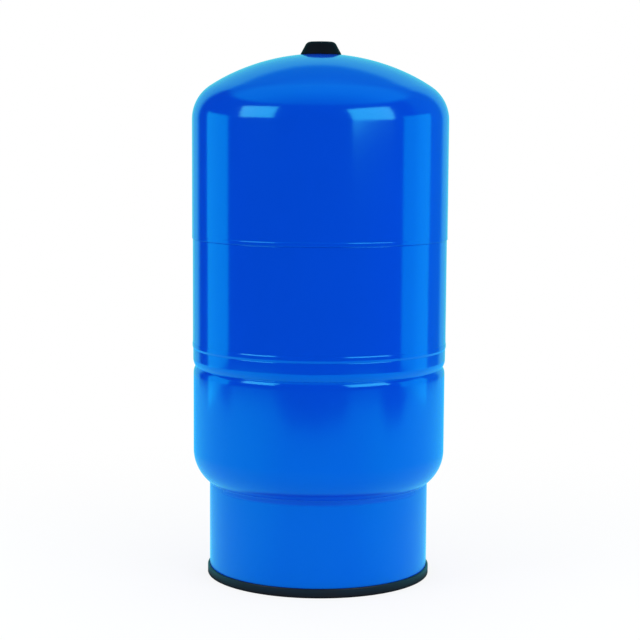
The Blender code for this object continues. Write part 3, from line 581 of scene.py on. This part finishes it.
def cast_zinc():
    """Galvanised casting: the rough skin of the mould under a dull, spangled coat."""
    material, tree, shader = finish_of("galvanised_casting", (0.50, 0.50, 0.49), 0.48, 0.2)
    place = tree.place()
    skin = tree.noise(place, 420.0, 4.0, 0.6)
    spangle = tree.node("ShaderNodeTexVoronoi", {}, {"Vector": place, "Scale": 260.0}, output="Color")
    patch = tree.axis(spangle, "X")
    colour = tree.mixed(patch, (0.42, 0.42, 0.41, 1.0), (0.58, 0.58, 0.57, 1.0))
    rough = 0.38 + 0.14 * patch + 0.10 * skin
    tree.surface(shader, colour, rough, tree.bumped(skin, 0.00012))
    return material


def turned_brass():
    """Turned brass: fine rings from the tool, and a light even tarnish."""
    material, tree, shader = finish_of("turned_brass", (0.72, 0.50, 0.18), 0.26, 0.35)
    place = tree.place()
    rings = tree.noise(tree.stretched(place, (1.0, 1.0, 40.0)), 160.0, 2.0)
    tarnish = tree.noise(place, 300.0, 3.0)
    colour = tree.mixed(tarnish, (0.60, 0.40, 0.13, 1.0), (0.80, 0.58, 0.24, 1.0))
    rough = 0.20 + 0.10 * tarnish + 0.08 * rings
    tree.surface(shader, colour, rough, tree.bumped(rings, 0.000008))
    return material


def black_rubber():
    """Moulded butyl rubber: matt, with a light bloom."""
    material, tree, shader = finish_of("butyl_rubber", (0.014, 0.014, 0.015), 0.62)
    place = tree.place()
    bloom = tree.noise(place, 60.0, 4.0)
    grain = tree.noise(place, 1800.0, 2.0)
    colour = tree.mixed(bloom, (0.010, 0.010, 0.011, 1.0), (0.024, 0.024, 0.025, 1.0))
    rough = 0.52 + 0.20 * bloom
    tree.surface(shader, colour, rough, tree.bumped(grain, 0.00004))
    return material


def liner_plastic():
    """Natural polypropylene of the water chamber's lining: milky, with faint flow lines."""
    material, tree, shader = finish_of("natural_polypropylene", (0.72, 0.73, 0.70), 0.38)
    place = tree.place()
    flow = tree.noise(tree.stretched(place, (1.0, 1.0, 0.15)), 45.0, 3.0)
    grain = tree.noise(place, 900.0, 2.0)
    colour = tree.mixed(flow, (0.68, 0.69, 0.65, 1.0), (0.76, 0.77, 0.75, 1.0))
    rough = 0.32 + 0.12 * flow
    tree.surface(shader, colour, rough, tree.bumped(grain, 0.00002))
    return material


def white_seal():
    """Fluoropolymer seal of the valve core: white, waxy and slightly uneven."""
    material, tree, shader = finish_of("white_fluoropolymer", (0.84, 0.84, 0.82), 0.42)
    place = tree.place()
    grain = tree.noise(place, 2500.0, 2.0)
    colour = tree.mixed(grain, (0.80, 0.80, 0.78, 1.0), (0.88, 0.88, 0.86, 1.0))
    rough = 0.36 + 0.12 * grain
    tree.surface(shader, colour, rough, tree.bumped(grain, 0.00001))
    return material


def make_upper_shell():
    """Dome and upper wall down to the upper girth weld, whose bead stands just proud of the wall."""
    outside = head(SHELL_RADIUS, TOP_SHOULDER, 1, 0.0, VALVE_HOLE)
    bead = rounded(
        [
            (SHELL_RADIUS, TOP_SHOULDER - 0.002, 0.0),
            (SHELL_RADIUS, UPPER_SEAM + 0.0036, 0.002),
            (SHELL_RADIUS - WELD_PROUD, UPPER_SEAM + 0.0030, 0.0006),
            (SHELL_RADIUS + WELD_PROUD, UPPER_SEAM + 0.0022, 0.0008),
            (SHELL_RADIUS + WELD_PROUD, UPPER_SEAM - 0.0024, 0.0006),
            (BAND_RADIUS - WELD_PROUD, UPPER_SEAM - WELD_FOOT, 0.0),
        ]
    )
    inside = head(SHELL_RADIUS, TOP_SHOULDER, 1, SHELL_WALL, VALVE_HOLE, 16, 10)[::-1]
    lap = [(SHELL_RADIUS - SHELL_WALL, UPPER_SEAM - WELD_FOOT)]
    mesh = turned("upper_shell_skin", np.concatenate((outside, bead, lap, inside)))
    piece = new_piece("upper_shell_skin", mesh, "tank", ENAMEL)
    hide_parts("upper_shell")


def make_band():
    """Rolled band between the seams, with the lower weld's bead and its drop to the lower shell."""
    outside = rounded(
        [
            (BAND_RADIUS - UPPER_LAP_STEP, UPPER_SEAM + UPPER_LAP, 0.0),
            (BAND_RADIUS - UPPER_LAP_STEP, UPPER_SEAM - 0.0020, 0.0),
            (BAND_RADIUS, UPPER_SEAM - 0.0036, 0.0010),
            (BAND_RADIUS, LOWER_SEAM + FLARE_TAPER_TOP, 0.02),
            (FLARE_RADIUS - 0.0005, LOWER_SEAM + 0.0071, 0.0008),
            (FLARE_RADIUS, LOWER_SEAM + FLARE_TOP, 0.0010),
            (FLARE_RADIUS, LOWER_SEAM + 0.0008, 0.0015),
            (COLLAR_RADIUS - WELD_PROUD, LOWER_SEAM - TOE_FOOT, 0.0),
        ]
    )
    inside = np.array(
        [
            (FLARE_RADIUS - SHELL_WALL, LOWER_SEAM - TOE_FOOT),
            (FLARE_RADIUS - SHELL_WALL, LOWER_SEAM + FLARE_TOP),
            (BAND_RADIUS - SHELL_WALL, LOWER_SEAM + FLARE_TAPER_TOP),
            (BAND_RADIUS - SHELL_WALL, UPPER_SEAM - 0.0050),
            (BAND_RADIUS - SHELL_WALL - UPPER_LAP_STEP, UPPER_SEAM - 0.0030),
            (BAND_RADIUS - SHELL_WALL - UPPER_LAP_STEP, UPPER_SEAM + UPPER_LAP),
        ]
    )
    mesh = turned("band_skin", np.concatenate((outside, inside)))
    piece = new_piece("band_skin", mesh, "tank", ROLLED_ENAMEL)
    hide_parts("shell_band")


def flank(height, depth, power):
    """Side of the groove, which leaves the wall without a corner: depth times a power of the way in."""
    drop = np.linspace(0.0, height, 17)
    return np.column_stack((drop, depth * (drop / height) ** power))


def groove(inset):
    """The rolled groove from top to bottom: its upper side, a tight root, and its lower side."""
    root_radius = LOWER_RADIUS - GROOVE_DEPTH
    top = GROOVE_HEIGHT + GROOVE_ROOT_HEIGHT / 2 + GROOVE_UPPER_FLANK
    bottom = GROOVE_HEIGHT - GROOVE_ROOT_HEIGHT / 2 - GROOVE_LOWER_FLANK
    upper = flank(GROOVE_UPPER_FLANK, COLLAR_RADIUS - root_radius, 2)
    lower = flank(GROOVE_LOWER_FLANK, LOWER_RADIUS - root_radius, 3)[::-1]
    upper_points = np.column_stack((COLLAR_RADIUS - inset - upper[:, 1], top - upper[:, 0]))
    lower_points = np.column_stack((LOWER_RADIUS - inset - lower[:, 1], bottom + lower[:, 0]))
    corners = [
        (*upper_points[-2], 0.0),
        (*upper_points[-1], 0.0012),
        (*lower_points[0], 0.0012),
        (*lower_points[1], 0.0),
    ]
    root = rounded(corners, 4)
    return np.concatenate((upper_points[:-2], root, lower_points[2:]))


def make_lower_shell():
    """Lower shell: collar, rolled groove, wall and bottom head, down to the flat round the inlet."""

    def skin(inset):
        collar = np.array(
            [
                (COLLAR_RADIUS - inset - LOWER_LAP_STEP, LOWER_SEAM + LOWER_LAP),
                (COLLAR_RADIUS - inset - LOWER_LAP_STEP, LOWER_SEAM - 0.0018),
                (COLLAR_RADIUS - inset, LOWER_SEAM - 0.0032),
                (COLLAR_RADIUS - inset, LOWER_SEAM - 0.0036),
            ]
        )
        bottom = head(LOWER_RADIUS, BOTTOM_SHOULDER, -1, inset, INLET_FLAT)[::-1]
        shoulder = np.array([(LOWER_RADIUS - inset, BOTTOM_SHOULDER + 0.0020)])
        seat = np.array([(INLET_HOLE, bottom[-1][1])])
        return np.concatenate((collar, groove(inset), shoulder, bottom, seat))

    profile = np.concatenate((skin(0.0), skin(SHELL_WALL)[::-1]))
    mesh = turned("lower_shell_skin", profile)
    piece = new_piece("lower_shell_skin", mesh, "tank", ENAMEL)
    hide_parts("lower_shell")


def head_height(radius):
    """Height of the bottom head's outside at a radius."""
    section = head(LOWER_RADIUS, BOTTOM_SHOULDER, -1, 0.0, INLET_FLAT)
    return float(np.interp(radius, section[:, 0], section[:, 1]))


def cut_port_hole(piece):
    """Cuts the port's round hole through the back of the stand."""
    profile = [
        (0.0, PORT_END),
        (PORT_HOLE_RADIUS, PORT_END),
        (PORT_HOLE_RADIUS, SKIRT_RADIUS / 2),
        (0.0, SKIRT_RADIUS / 2),
    ]
    cutter_mesh = turned("port_hole", profile, ring=False, columns=96, place=lying)
    cutter = bpy.data.objects.new("port_hole", cutter_mesh)
    bpy.context.scene.collection.objects.link(cutter)
    cut = piece.modifiers.new("Port hole", "BOOLEAN")
    cut.operation = "DIFFERENCE"
    cut.solver = "EXACT"
    cut.object = cutter
    depsgraph = bpy.context.evaluated_depsgraph_get()
    cut_mesh = bpy.data.meshes.new_from_object(piece.evaluated_get(depsgraph))
    piece.modifiers.clear()
    piece.data = cut_mesh
    cut_mesh.shade_smooth()
    cut_mesh.set_sharp_from_angle(angle=SHARP_ANGLE)
    bpy.data.objects.remove(cutter)


def make_skirt():
    """Rolled stand under the bottom head, with the fillet weld that joins them and the port's hole."""
    weld_radius = SKIRT_RADIUS + JOINT_FILLET
    inner_top = head_height(SKIRT_RADIUS - SKIRT_WALL)
    profile = rounded(
        [
            (weld_radius, head_height(weld_radius) + 0.0002, 0.0),
            (SKIRT_RADIUS, head_height(SKIRT_RADIUS) - 0.0002, JOINT_FILLET),
            (SKIRT_RADIUS, RING_WEB + 0.0003, 0.0003),
            (SKIRT_RADIUS - SKIRT_WALL, RING_WEB + 0.0003, 0.0003),
            (SKIRT_RADIUS - SKIRT_WALL, inner_top - 0.0001, 0.0),
        ],
        8,
    )
    mesh = turned("skirt_skin", profile)
    piece = new_piece("skirt_skin", mesh, "tank", ROLLED_ENAMEL)
    cut_port_hole(piece)
    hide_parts("base_skirt")


def make_foot_ring():
    """Moulded channel that the skirt stands in, with softened edges."""
    profile = rounded(
        [
            (SKIRT_RADIUS + 0.0001, RING_HEIGHT - 0.0010, 0.0),
            (SKIRT_RADIUS + 0.0001, RING_HEIGHT, 0.0005),
            (RING_RADIUS, RING_HEIGHT, 0.0016),
            (RING_RADIUS, 0.0, 0.0010),
            (RING_INSIDE, 0.0, 0.0010),
            (RING_INSIDE, 0.0100, 0.0008),
            (SKIRT_RADIUS - SKIRT_WALL - 0.0001, 0.0100, 0.0004),
            (SKIRT_RADIUS - SKIRT_WALL - 0.0001, RING_WEB, 0.0),
            (SKIRT_RADIUS + 0.0001, RING_WEB, 0.0),
            (SKIRT_RADIUS + 0.0001, RING_HEIGHT - 0.0020, 0.0),
        ]
    )
    mesh = turned("foot_ring", profile)
    piece = new_piece("foot_ring", mesh, "tank", MOULDED_BLACK)
    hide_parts("base_ring")


def make_cap():
    """Moulded cap: a cone whose top edge turns over in one large fillet, and a grip collar inside."""
    slope = math.tan(CAP_DRAFT)
    top_corner = CAP_RADIUS - (CAP_TOP - CAP_BOTTOM) * slope
    inner_radius = CAP_RADIUS - CAP_WALL / math.cos(CAP_DRAFT)
    inner_top = CAP_TOP - CAP_WALL
    collar_bottom = CAP_BOTTOM + GRIP_LIFT
    profile = rounded(
        [
            (0.0, CAP_TOP, 0.0),
            (top_corner, CAP_TOP, CAP_CORNER),
            (CAP_RADIUS, CAP_BOTTOM, 0.0005),
            (inner_radius, CAP_BOTTOM, 0.0005),
            (inner_radius - (inner_top - CAP_BOTTOM) * slope, inner_top, 0.0008),
            (GRIP_OUTSIDE, inner_top, 0.0005),
            (GRIP_OUTSIDE, collar_bottom, 0.0004),
            (GRIP_INSIDE, collar_bottom, 0.0004),
            (GRIP_INSIDE, inner_top, 0.0004),
            (0.0, inner_top, 0.0),
        ],
        10,
    )
    mesh = turned("dust_cap", profile, ring=False, columns=160)
    piece = new_piece("dust_cap", mesh, "valve_cap", MATT_BLACK)
    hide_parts("valve_cap")


def make_coupling():
    """Hexagonal coupling on the port, chamfered at both ends and threaded inside."""
    start = PORT_END - COUPLING_LENGTH
    thread_start = start + SOCKET_DEPTH
    thread_end = PORT_END - 0.0006
    mouth = [(SOCKET_RADIUS + 0.0010, PORT_END)]
    outside = hex_side(COUPLING_FLATS, PORT_END, start)
    bore = evenly(SOCKET_RADIUS, start, thread_start, COUPLING_LENGTH)
    threaded = evenly(SOCKET_RADIUS, thread_start + 0.0002, PORT_END - 0.0010, PIPE_PITCH / 16)

    def shape(radii, reaches, angles):
        ridge = thread(reaches, angles, PIPE_PITCH, thread_start, thread_end)
        bored = radii - 0.0009 * ridge * (radii <= SOCKET_RADIUS)
        return hexagonal(bored, angles, COUPLING_FLATS)

    profile = np.concatenate((mouth, outside, bore, threaded))
    mesh = turned("hex_coupling", profile, columns=144, place=lying, shape=shape)
    piece = new_piece("hex_coupling", mesh, "tank", ZINC)
    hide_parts("port_coupling")


def make_pipe():
    """Pipe from the elbow to the coupling. Its end threads run out of both."""
    start = ELBOW_BEND + 0.0003
    end = PORT_END - COUPLING_LENGTH + SOCKET_DEPTH
    run_out = 0.0070
    near_thread = (start, start + SOCKET_DEPTH + run_out)
    far_thread = (end - SOCKET_DEPTH - run_out, end)
    outside = np.concatenate(
        (
            [(PIPE_RADIUS - 0.0006, end)],
            evenly(PIPE_RADIUS, end - 0.0006, far_thread[0], PIPE_PITCH / 16),
            evenly(PIPE_RADIUS, near_thread[1], start + 0.0006, PIPE_PITCH / 16),
            [(PIPE_RADIUS - 0.0006, start)],
        )
    )
    bore = [(PIPE_BORE, start), (PIPE_BORE, end)]

    def shape(radii, reaches, angles):
        near = thread(reaches, angles, PIPE_PITCH, *near_thread)
        far = thread(reaches, angles, PIPE_PITCH, *far_thread)
        return radii - 0.0008 * (near + far) * (radii >= PIPE_RADIUS)

    profile = np.concatenate((outside, bore))
    mesh = turned("threaded_pipe", profile, columns=128, place=lying, shape=shape)
    piece = new_piece("threaded_pipe", mesh, "tank", CASTING)
    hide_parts("outlet_pipe")


def make_elbow():
    """Cast elbow: a round bend between two banded sockets."""
    length = 2 * SOCKET_DEPTH + ELBOW_BEND * math.pi / 2
    collar = ELBOW_COLLAR_HEIGHT
    top_end = rounded(
        [
            (SOCKET_RADIUS, length - 0.0020, 0.0),
            (SOCKET_RADIUS, length, 0.0006),
            (ELBOW_COLLAR_RADIUS, length, 0.0010),
            (ELBOW_COLLAR_RADIUS, length - collar, 0.0012),
            (ELBOW_RADIUS, length - collar, 0.0014),
            (ELBOW_RADIUS, length - collar - 0.0030, 0.0),
        ]
    )
    back_end = top_end[::-1] * (1.0, -1.0) + (0.0, length)
    bend = evenly(ELBOW_RADIUS, length - SOCKET_DEPTH, SOCKET_DEPTH, 0.0007)
    back_socket = [(SOCKET_RADIUS, SOCKET_DEPTH), (PIPE_BORE, SOCKET_DEPTH)]
    bore = evenly(PIPE_BORE, SOCKET_DEPTH + 0.0005, length - SOCKET_DEPTH - 0.0005, 0.0015)
    top_socket = [(PIPE_BORE, length - SOCKET_DEPTH), (SOCKET_RADIUS, length - SOCKET_DEPTH)]
    profile = np.concatenate((top_end, bend, back_end, back_socket, bore, top_socket))
    mesh = turned("cast_elbow", profile, columns=96, place=along_elbow)
    piece = new_piece("cast_elbow", mesh, "tank", CASTING)
    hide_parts("inlet_elbow")


def make_locknut():
    """Chamfered locknut under the bottom head, and its round washer."""
    bottom = LOCKNUT_TOP - LOCKNUT_HEIGHT
    bore = [(SOCKET_RADIUS + 0.0005, bottom), (SOCKET_RADIUS, bottom + 0.0005)]
    bore_top = [(SOCKET_RADIUS, LOCKNUT_TOP - 0.0005), (SOCKET_RADIUS + 0.0005, LOCKNUT_TOP)]
    profile = np.concatenate((hex_side(LOCKNUT_FLATS, LOCKNUT_TOP, bottom), bore, bore_top))

    def shape(radii, heights, angles):
        return hexagonal(radii, angles, LOCKNUT_FLATS)

    nut_mesh = turned("hex_locknut", profile, columns=144, shape=shape)
    nut = new_piece("hex_locknut", nut_mesh, "tank", ZINC)
    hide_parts("inlet_locknut")
    washer_bottom = WASHER_TOP - WASHER_HEIGHT
    section = rounded(
        [
            (INLET_HOLE + 0.0010, WASHER_TOP, 0.0),
            (WASHER_RADIUS, WASHER_TOP, 0.0005),
            (WASHER_RADIUS, washer_bottom, 0.0005),
            (INLET_HOLE, washer_bottom, 0.0003),
            (INLET_HOLE, WASHER_TOP, 0.0003),
            (INLET_HOLE + 0.0020, WASHER_TOP, 0.0),
        ]
    )[:-1]
    washer_mesh = turned("round_washer", section, columns=144)
    washer = new_piece("round_washer", washer_mesh, "tank", ZINC)
    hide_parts("inlet_washer")


def make_valve_seat():
    """Welded boss that the air valve screws into, with its turned pocket for the seal."""
    profile = rounded(
        [
            (POCKET_RADIUS + 0.0010, BOSS_TOP, 0.0),
            (BOSS_RADIUS, BOSS_TOP, 0.0005),
            (BOSS_RADIUS, BOSS_SEAT, 0.0003),
            (BOSS_SHANK_RADIUS, BOSS_SEAT, 0.0002),
            (BOSS_SHANK_RADIUS, SHANK_BOTTOM, 0.0005),
            (BOSS_BORE, SHANK_BOTTOM, 0.0003),
            (BOSS_BORE, POCKET_FLOOR, 0.0001),
            (POCKET_RADIUS, POCKET_FLOOR, 0.0001),
            (POCKET_RADIUS, BOSS_TOP, 0.0002),
            (POCKET_RADIUS + 0.0020, BOSS_TOP, 0.0),
        ]
    )[:-1]
    mesh = turned("turned_boss", profile, columns=144)
    piece = new_piece("turned_boss", mesh, "tank", ZINC)
    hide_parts("valve_boss")


def make_valve():
    """Brass air valve: shank, hexagon, and a threaded stem with a countersunk bore."""
    thread_bottom = VALVE_HEX_TOP + 0.0008
    thread_top = STEM_TOP - 0.0003
    stem = np.concatenate(
        (
            [(STEM_BORE + 0.0002, STEM_TOP), (STEM_RADIUS - 0.0005, STEM_TOP)],
            evenly(STEM_RADIUS, STEM_TOP - 0.0004, VALVE_HEX_TOP + 0.0002, STEM_PITCH / 14),
            [(STEM_RADIUS + 0.0002, VALVE_HEX_TOP)],
        )
    )
    shank = [
        (VALVE_SHANK_RADIUS, VALVE_HEX_BOTTOM),
        (VALVE_SHANK_RADIUS, SHANK_BOTTOM + 0.0004),
        (VALVE_SHANK_RADIUS - 0.0004, SHANK_BOTTOM),
        (STEM_LOWER_BORE, SHANK_BOTTOM),
        (STEM_LOWER_BORE, STEM_SEAT - 0.0006),
        (STEM_BORE, STEM_SEAT),
        (STEM_BORE, STEM_TOP - 0.0002),
    ]
    hexagon = hex_side(VALVE_FLATS, VALVE_HEX_TOP, VALVE_HEX_BOTTOM)

    def shape(radii, heights, angles):
        groove_depth = 0.0004 * thread(heights, angles, STEM_PITCH, thread_bottom, thread_top)
        cut = radii - groove_depth * (radii == STEM_RADIUS)
        return hexagonal(cut, angles, VALVE_FLATS)

    profile = np.concatenate((stem, hexagon, shank))
    mesh = turned("air_valve", profile, columns=120, shape=shape)
    piece = new_piece("air_valve", mesh, "tank", BRASS)
    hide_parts("valve_body")


def make_spring():
    """Coil spring of the valve core, wound from round wire, with a closed turn at each end.

    The wire's line is a helix that climbs evenly between the closed turns. The spring's foot stands on
    the housing.
    """
    sides = 16
    steps_per_turn = 40
    low = SPRING_BOTTOM + SPRING_WIRE
    high = SPRING_TOP - SPRING_WIRE
    closed = CLOSED_TURN * SPRING_WIRE
    turns = np.linspace(0.0, SPRING_TURNS, SPRING_TURNS * steps_per_turn + 1)
    turn_marks = (0, 1, SPRING_TURNS - 1, SPRING_TURNS)
    heights = np.interp(turns, turn_marks, (low, low + closed, high - closed, high))
    angles = 2 * np.pi * turns
    line = np.column_stack((SPRING_RADIUS * np.cos(angles), SPRING_RADIUS * np.sin(angles), heights))
    along = np.gradient(line, axis=0)
    along = along / np.linalg.norm(along, axis=1, keepdims=True)
    inward = np.column_stack((-np.cos(angles), -np.sin(angles), np.zeros_like(angles)))
    upward = np.cross(inward, along)
    around = (np.arange(sides) * 2 * np.pi / sides)[None, :, None]
    section = np.cos(around) * inward[:, None] + np.sin(around) * upward[:, None]
    places = line[:, None] + SPRING_WIRE * section
    first_end = np.repeat(line[:1, None], sides, axis=1)
    last_end = np.repeat(line[-1:, None], sides, axis=1)
    mesh = grid_mesh("core_spring_wire", np.concatenate((first_end, places, last_end)), ring=False)
    piece = new_piece("core_spring_wire", mesh, None, ZINC)
    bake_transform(piece)
    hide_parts("core_spring")


def finish_inner_nodes():
    """Gives each CAD solid that stays its finish."""
    finishes = {
        "chamber_liner": LINER,
        "diaphragm": RUBBER,
        "clamp_ring": ZINC,
        "inlet_spud": ZINC,
        "inlet_gasket": RUBBER,
        "valve_o_ring": RUBBER,
        "core_housing": BRASS,
        "core_gasket": SEAL,
        "core_pin": BRASS,
        "core_cup": BRASS,
        "core_cup_seal": RUBBER,
    }
    for name, material in finishes.items():
        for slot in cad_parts[name].material_slots:
            slot.material = material


def pale_floor():
    """Floor that is white to the camera, takes a faint shadow, and mirrors a painted shadow near the
    foot ring.
    """
    material = bpy.data.materials.new("pale_floor")
    tree = Tree(material)
    tree.nodes.clear()
    place = tree.place()
    distance = tree.node("ShaderNodeVectorMath", {"operation": "LENGTH"}, {0: place}, output="Value")
    camera, mirrored = tree.rays()
    plain = tree.between(distance, *PLAIN_EDGE, 0.82, 1.0) * tree.between(distance, *STAND_EDGE)
    past_painted_shadow = tree.between(distance, *PAINTED_SHADOW_EDGE)
    sideways = tree.axis(place, "X") / distance
    beside = tree.between((sideways * sideways) ** 0.5, 0.40, 0.95)
    grain = tree.noise(place, 3.0)
    pale = tree.mixed(grain, (0.88, 0.88, 0.88, 1.0), (0.90, 0.90, 0.90, 1.0))
    lit = tree.node("ShaderNodeBsdfDiffuse", {}, {"Color": pale})
    glow = tree.mixed(beside, MIRRORED_FLOOR, MIRRORED_GLOW)
    # Painted shadow: mirrored rays see the floor dark near the foot ring
    mirrored_floor = tree.mixed(past_painted_shadow, PAINTED_CONTACT_SHADOW, glow)
    colour = tree.mixed(mirrored, WHITE, mirrored_floor)
    white = tree.node("ShaderNodeEmission", {}, {"Color": colour, "Strength": 1.0})
    shown = tree.node("ShaderNodeMixShader", {}, {0: (camera + mirrored) * plain, 1: lit, 2: white})
    tree.feed(tree.nodes.new("ShaderNodeOutputMaterial"), {"Surface": shown})
    return material


def make_floor():
    """Pale floor: a flat sheet, where each bearing's reach is taken in even steps from the middle."""
    rings = 24
    columns = 180
    shares = np.linspace(0.0, 1.0, rings)[::-1]
    angles = np.arange(columns) * 2 * np.pi / columns - np.pi
    reach = np.interp(-np.degrees(angles), FLOOR_BEARINGS, FLOOR_REACHES)
    across = shares[:, None] * reach * np.sin(angles)
    along = -shares[:, None] * reach * np.cos(angles)
    places = np.stack((across, along, np.zeros_like(across)), axis=-1)
    mesh = grid_mesh("floor", places, ring=False)
    mesh.materials.append(pale_floor())
    floor = bpy.data.objects.new("floor", mesh)
    bpy.context.scene.collection.objects.link(floor)


def add_lamp(name, centre, facing, lean, size, colour, radiance):
    """A soft box at a place, facing a direction, turned about it by its lean."""
    data = bpy.data.lights.new(name, "AREA")
    data.shape = "RECTANGLE"
    data.size = size[0]
    data.size_y = size[1]
    data.color = colour
    data.energy = radiance * size[0] * size[1] * WATTS_PER_RADIANCE
    lamp = bpy.data.objects.new(name, data)
    turn = Vector(facing).to_track_quat("-Z", "Y").to_matrix().to_4x4()
    lamp.matrix_world = Matrix.Translation(centre) @ turn @ Matrix.Rotation(lean, 4, "Z")
    lamp.visible_camera = False
    bpy.context.scene.collection.objects.link(lamp)


def light_studio():
    """Two windows in front, and a panel at each side that the wall mirrors as a strip."""
    window = (1.0, 1.0, 1.0)
    strip = (0.03, 0.90, 1.2)
    add_lamp(
        "left_window",
        centre=(-1.781, -1.118, 1.348),
        facing=(0.651, 0.697, -0.300),
        lean=-0.03,
        size=(1.342, 0.984),
        colour=window,
        radiance=2.75,
    )
    add_lamp(
        "right_window",
        centre=(1.499, -1.506, 1.268),
        facing=(-0.729, 0.641, -0.240),
        lean=0.06,
        size=(1.556, 1.104),
        colour=window,
        radiance=2.75,
    )
    add_lamp(
        "left_strip",
        centre=(-1.610, 0.170, 0.506),
        facing=(0.630, -0.776, 0.0),
        lean=0.0,
        size=(1.062, 0.838),
        colour=strip,
        radiance=1.15,
    )
    add_lamp(
        "right_strip",
        centre=(1.598, -0.027, 0.513),
        facing=(-0.897, -0.443, 0.0),
        lean=0.0,
        size=(1.056, 0.864),
        colour=strip,
        radiance=0.92,
    )


def make_surroundings():
    """Studio room: white to the camera, and by direction to what the surfaces mirror.

    The angle over the tank runs from the front horizon (0) over the top (0.5) to the back horizon (1).
    The room is dark in front, bright overhead and white behind the tank.
    """
    world = bpy.data.worlds.new("studio")
    bpy.context.scene.world = world
    tree = Tree(world)
    tree.nodes.clear()
    direction = tree.node("ShaderNodeTexCoord", output="Generated")
    across = tree.axis(direction, "X")
    back = tree.axis(direction, "Y")
    up = tree.axis(direction, "Z")
    over = tree.node("ShaderNodeMath", {"operation": "ARCTAN2"}, {0: up, 1: -back}) / math.pi
    stops = [
        (0.0, 0.0),
        (0.15, 0.02),
        (0.20, 0.20),
        (0.25, 0.36),
        (0.30, 0.54),
        (0.35, 0.70),
        (0.46, 0.97),
        (0.60, 0.90),
        (0.68, 0.42),
        (1.0, 0.36),
    ]
    ceiling = tree.node("ShaderNodeValToRGB", {"stops": stops}, {0: over})
    level = (across * across + back * back) ** 0.5
    behind = tree.between(back / level, 0.70, 0.82)
    high = tree.between(up, 0.60, 0.69)
    overhead = tree.axis(ceiling, "X") * high
    right_wall = tree.between(back, 0.0, 0.2) * tree.between(across, 0.1, 0.3) * RIGHT_WALL_LEVEL
    backdrop = behind * (1.0 - high)
    room = overhead + backdrop + (1.0 - behind) * (1.0 - high) * right_wall + DARK_LEVEL
    camera, mirrored = tree.rays()
    strength = camera + (1.0 - camera) * (room + (1.0 - mirrored) * FILL_LEVEL)
    colour = tree.mixed(mirrored, WHITE, tree.mixed(backdrop, MIRRORED_STUDIO, MIRRORED_BACKDROP))
    background = tree.node("ShaderNodeBackground", {}, {"Color": colour, "Strength": strength})
    tree.feed(tree.nodes.new("ShaderNodeOutputWorld"), {"Surface": background})


def make_camera():
    """Camera where the photograph was taken from: level with the shoulder and looking slightly down."""
    data = bpy.data.cameras.new("camera")
    data.lens = LENS
    data.sensor_width = SENSOR
    data.shift_x = CAMERA_SHIFT
    camera = bpy.data.objects.new("camera", data)
    aim = Matrix.Rotation(math.pi / 2 - CAMERA_PITCH, 4, "X") @ Matrix.Rotation(CAMERA_ROLL, 4, "Z")
    camera.matrix_world = Matrix.Translation(CAMERA_PLACE) @ aim
    bpy.context.scene.collection.objects.link(camera)
    bpy.context.scene.camera = camera


ENAMEL = blue_paint("gloss_blue_enamel", welded_and_shaded=False)
ROLLED_ENAMEL = blue_paint("gloss_blue_enamel_on_rolled_sheet", welded_and_shaded=True)
MOULDED_BLACK = black_plastic("black_moulded_plastic", gloss=0.45, roughness=0.42)
MATT_BLACK = black_plastic("matt_black_moulded_plastic", gloss=0.10, roughness=0.60)
ZINC = zinc_plate()
CASTING = cast_zinc()
BRASS = turned_brass()
RUBBER = black_rubber()
LINER = liner_plastic()
SEAL = white_seal()

make_camera()
make_upper_shell()
make_band()
make_lower_shell()
make_skirt()
make_foot_ring()
make_cap()
make_coupling()
make_pipe()
make_elbow()
make_locknut()
make_valve_seat()
make_valve()
make_spring()
finish_inner_nodes()
make_floor()
light_studio()
make_surroundings()
bpy.context.scene.view_settings.view_transform = "Standard"
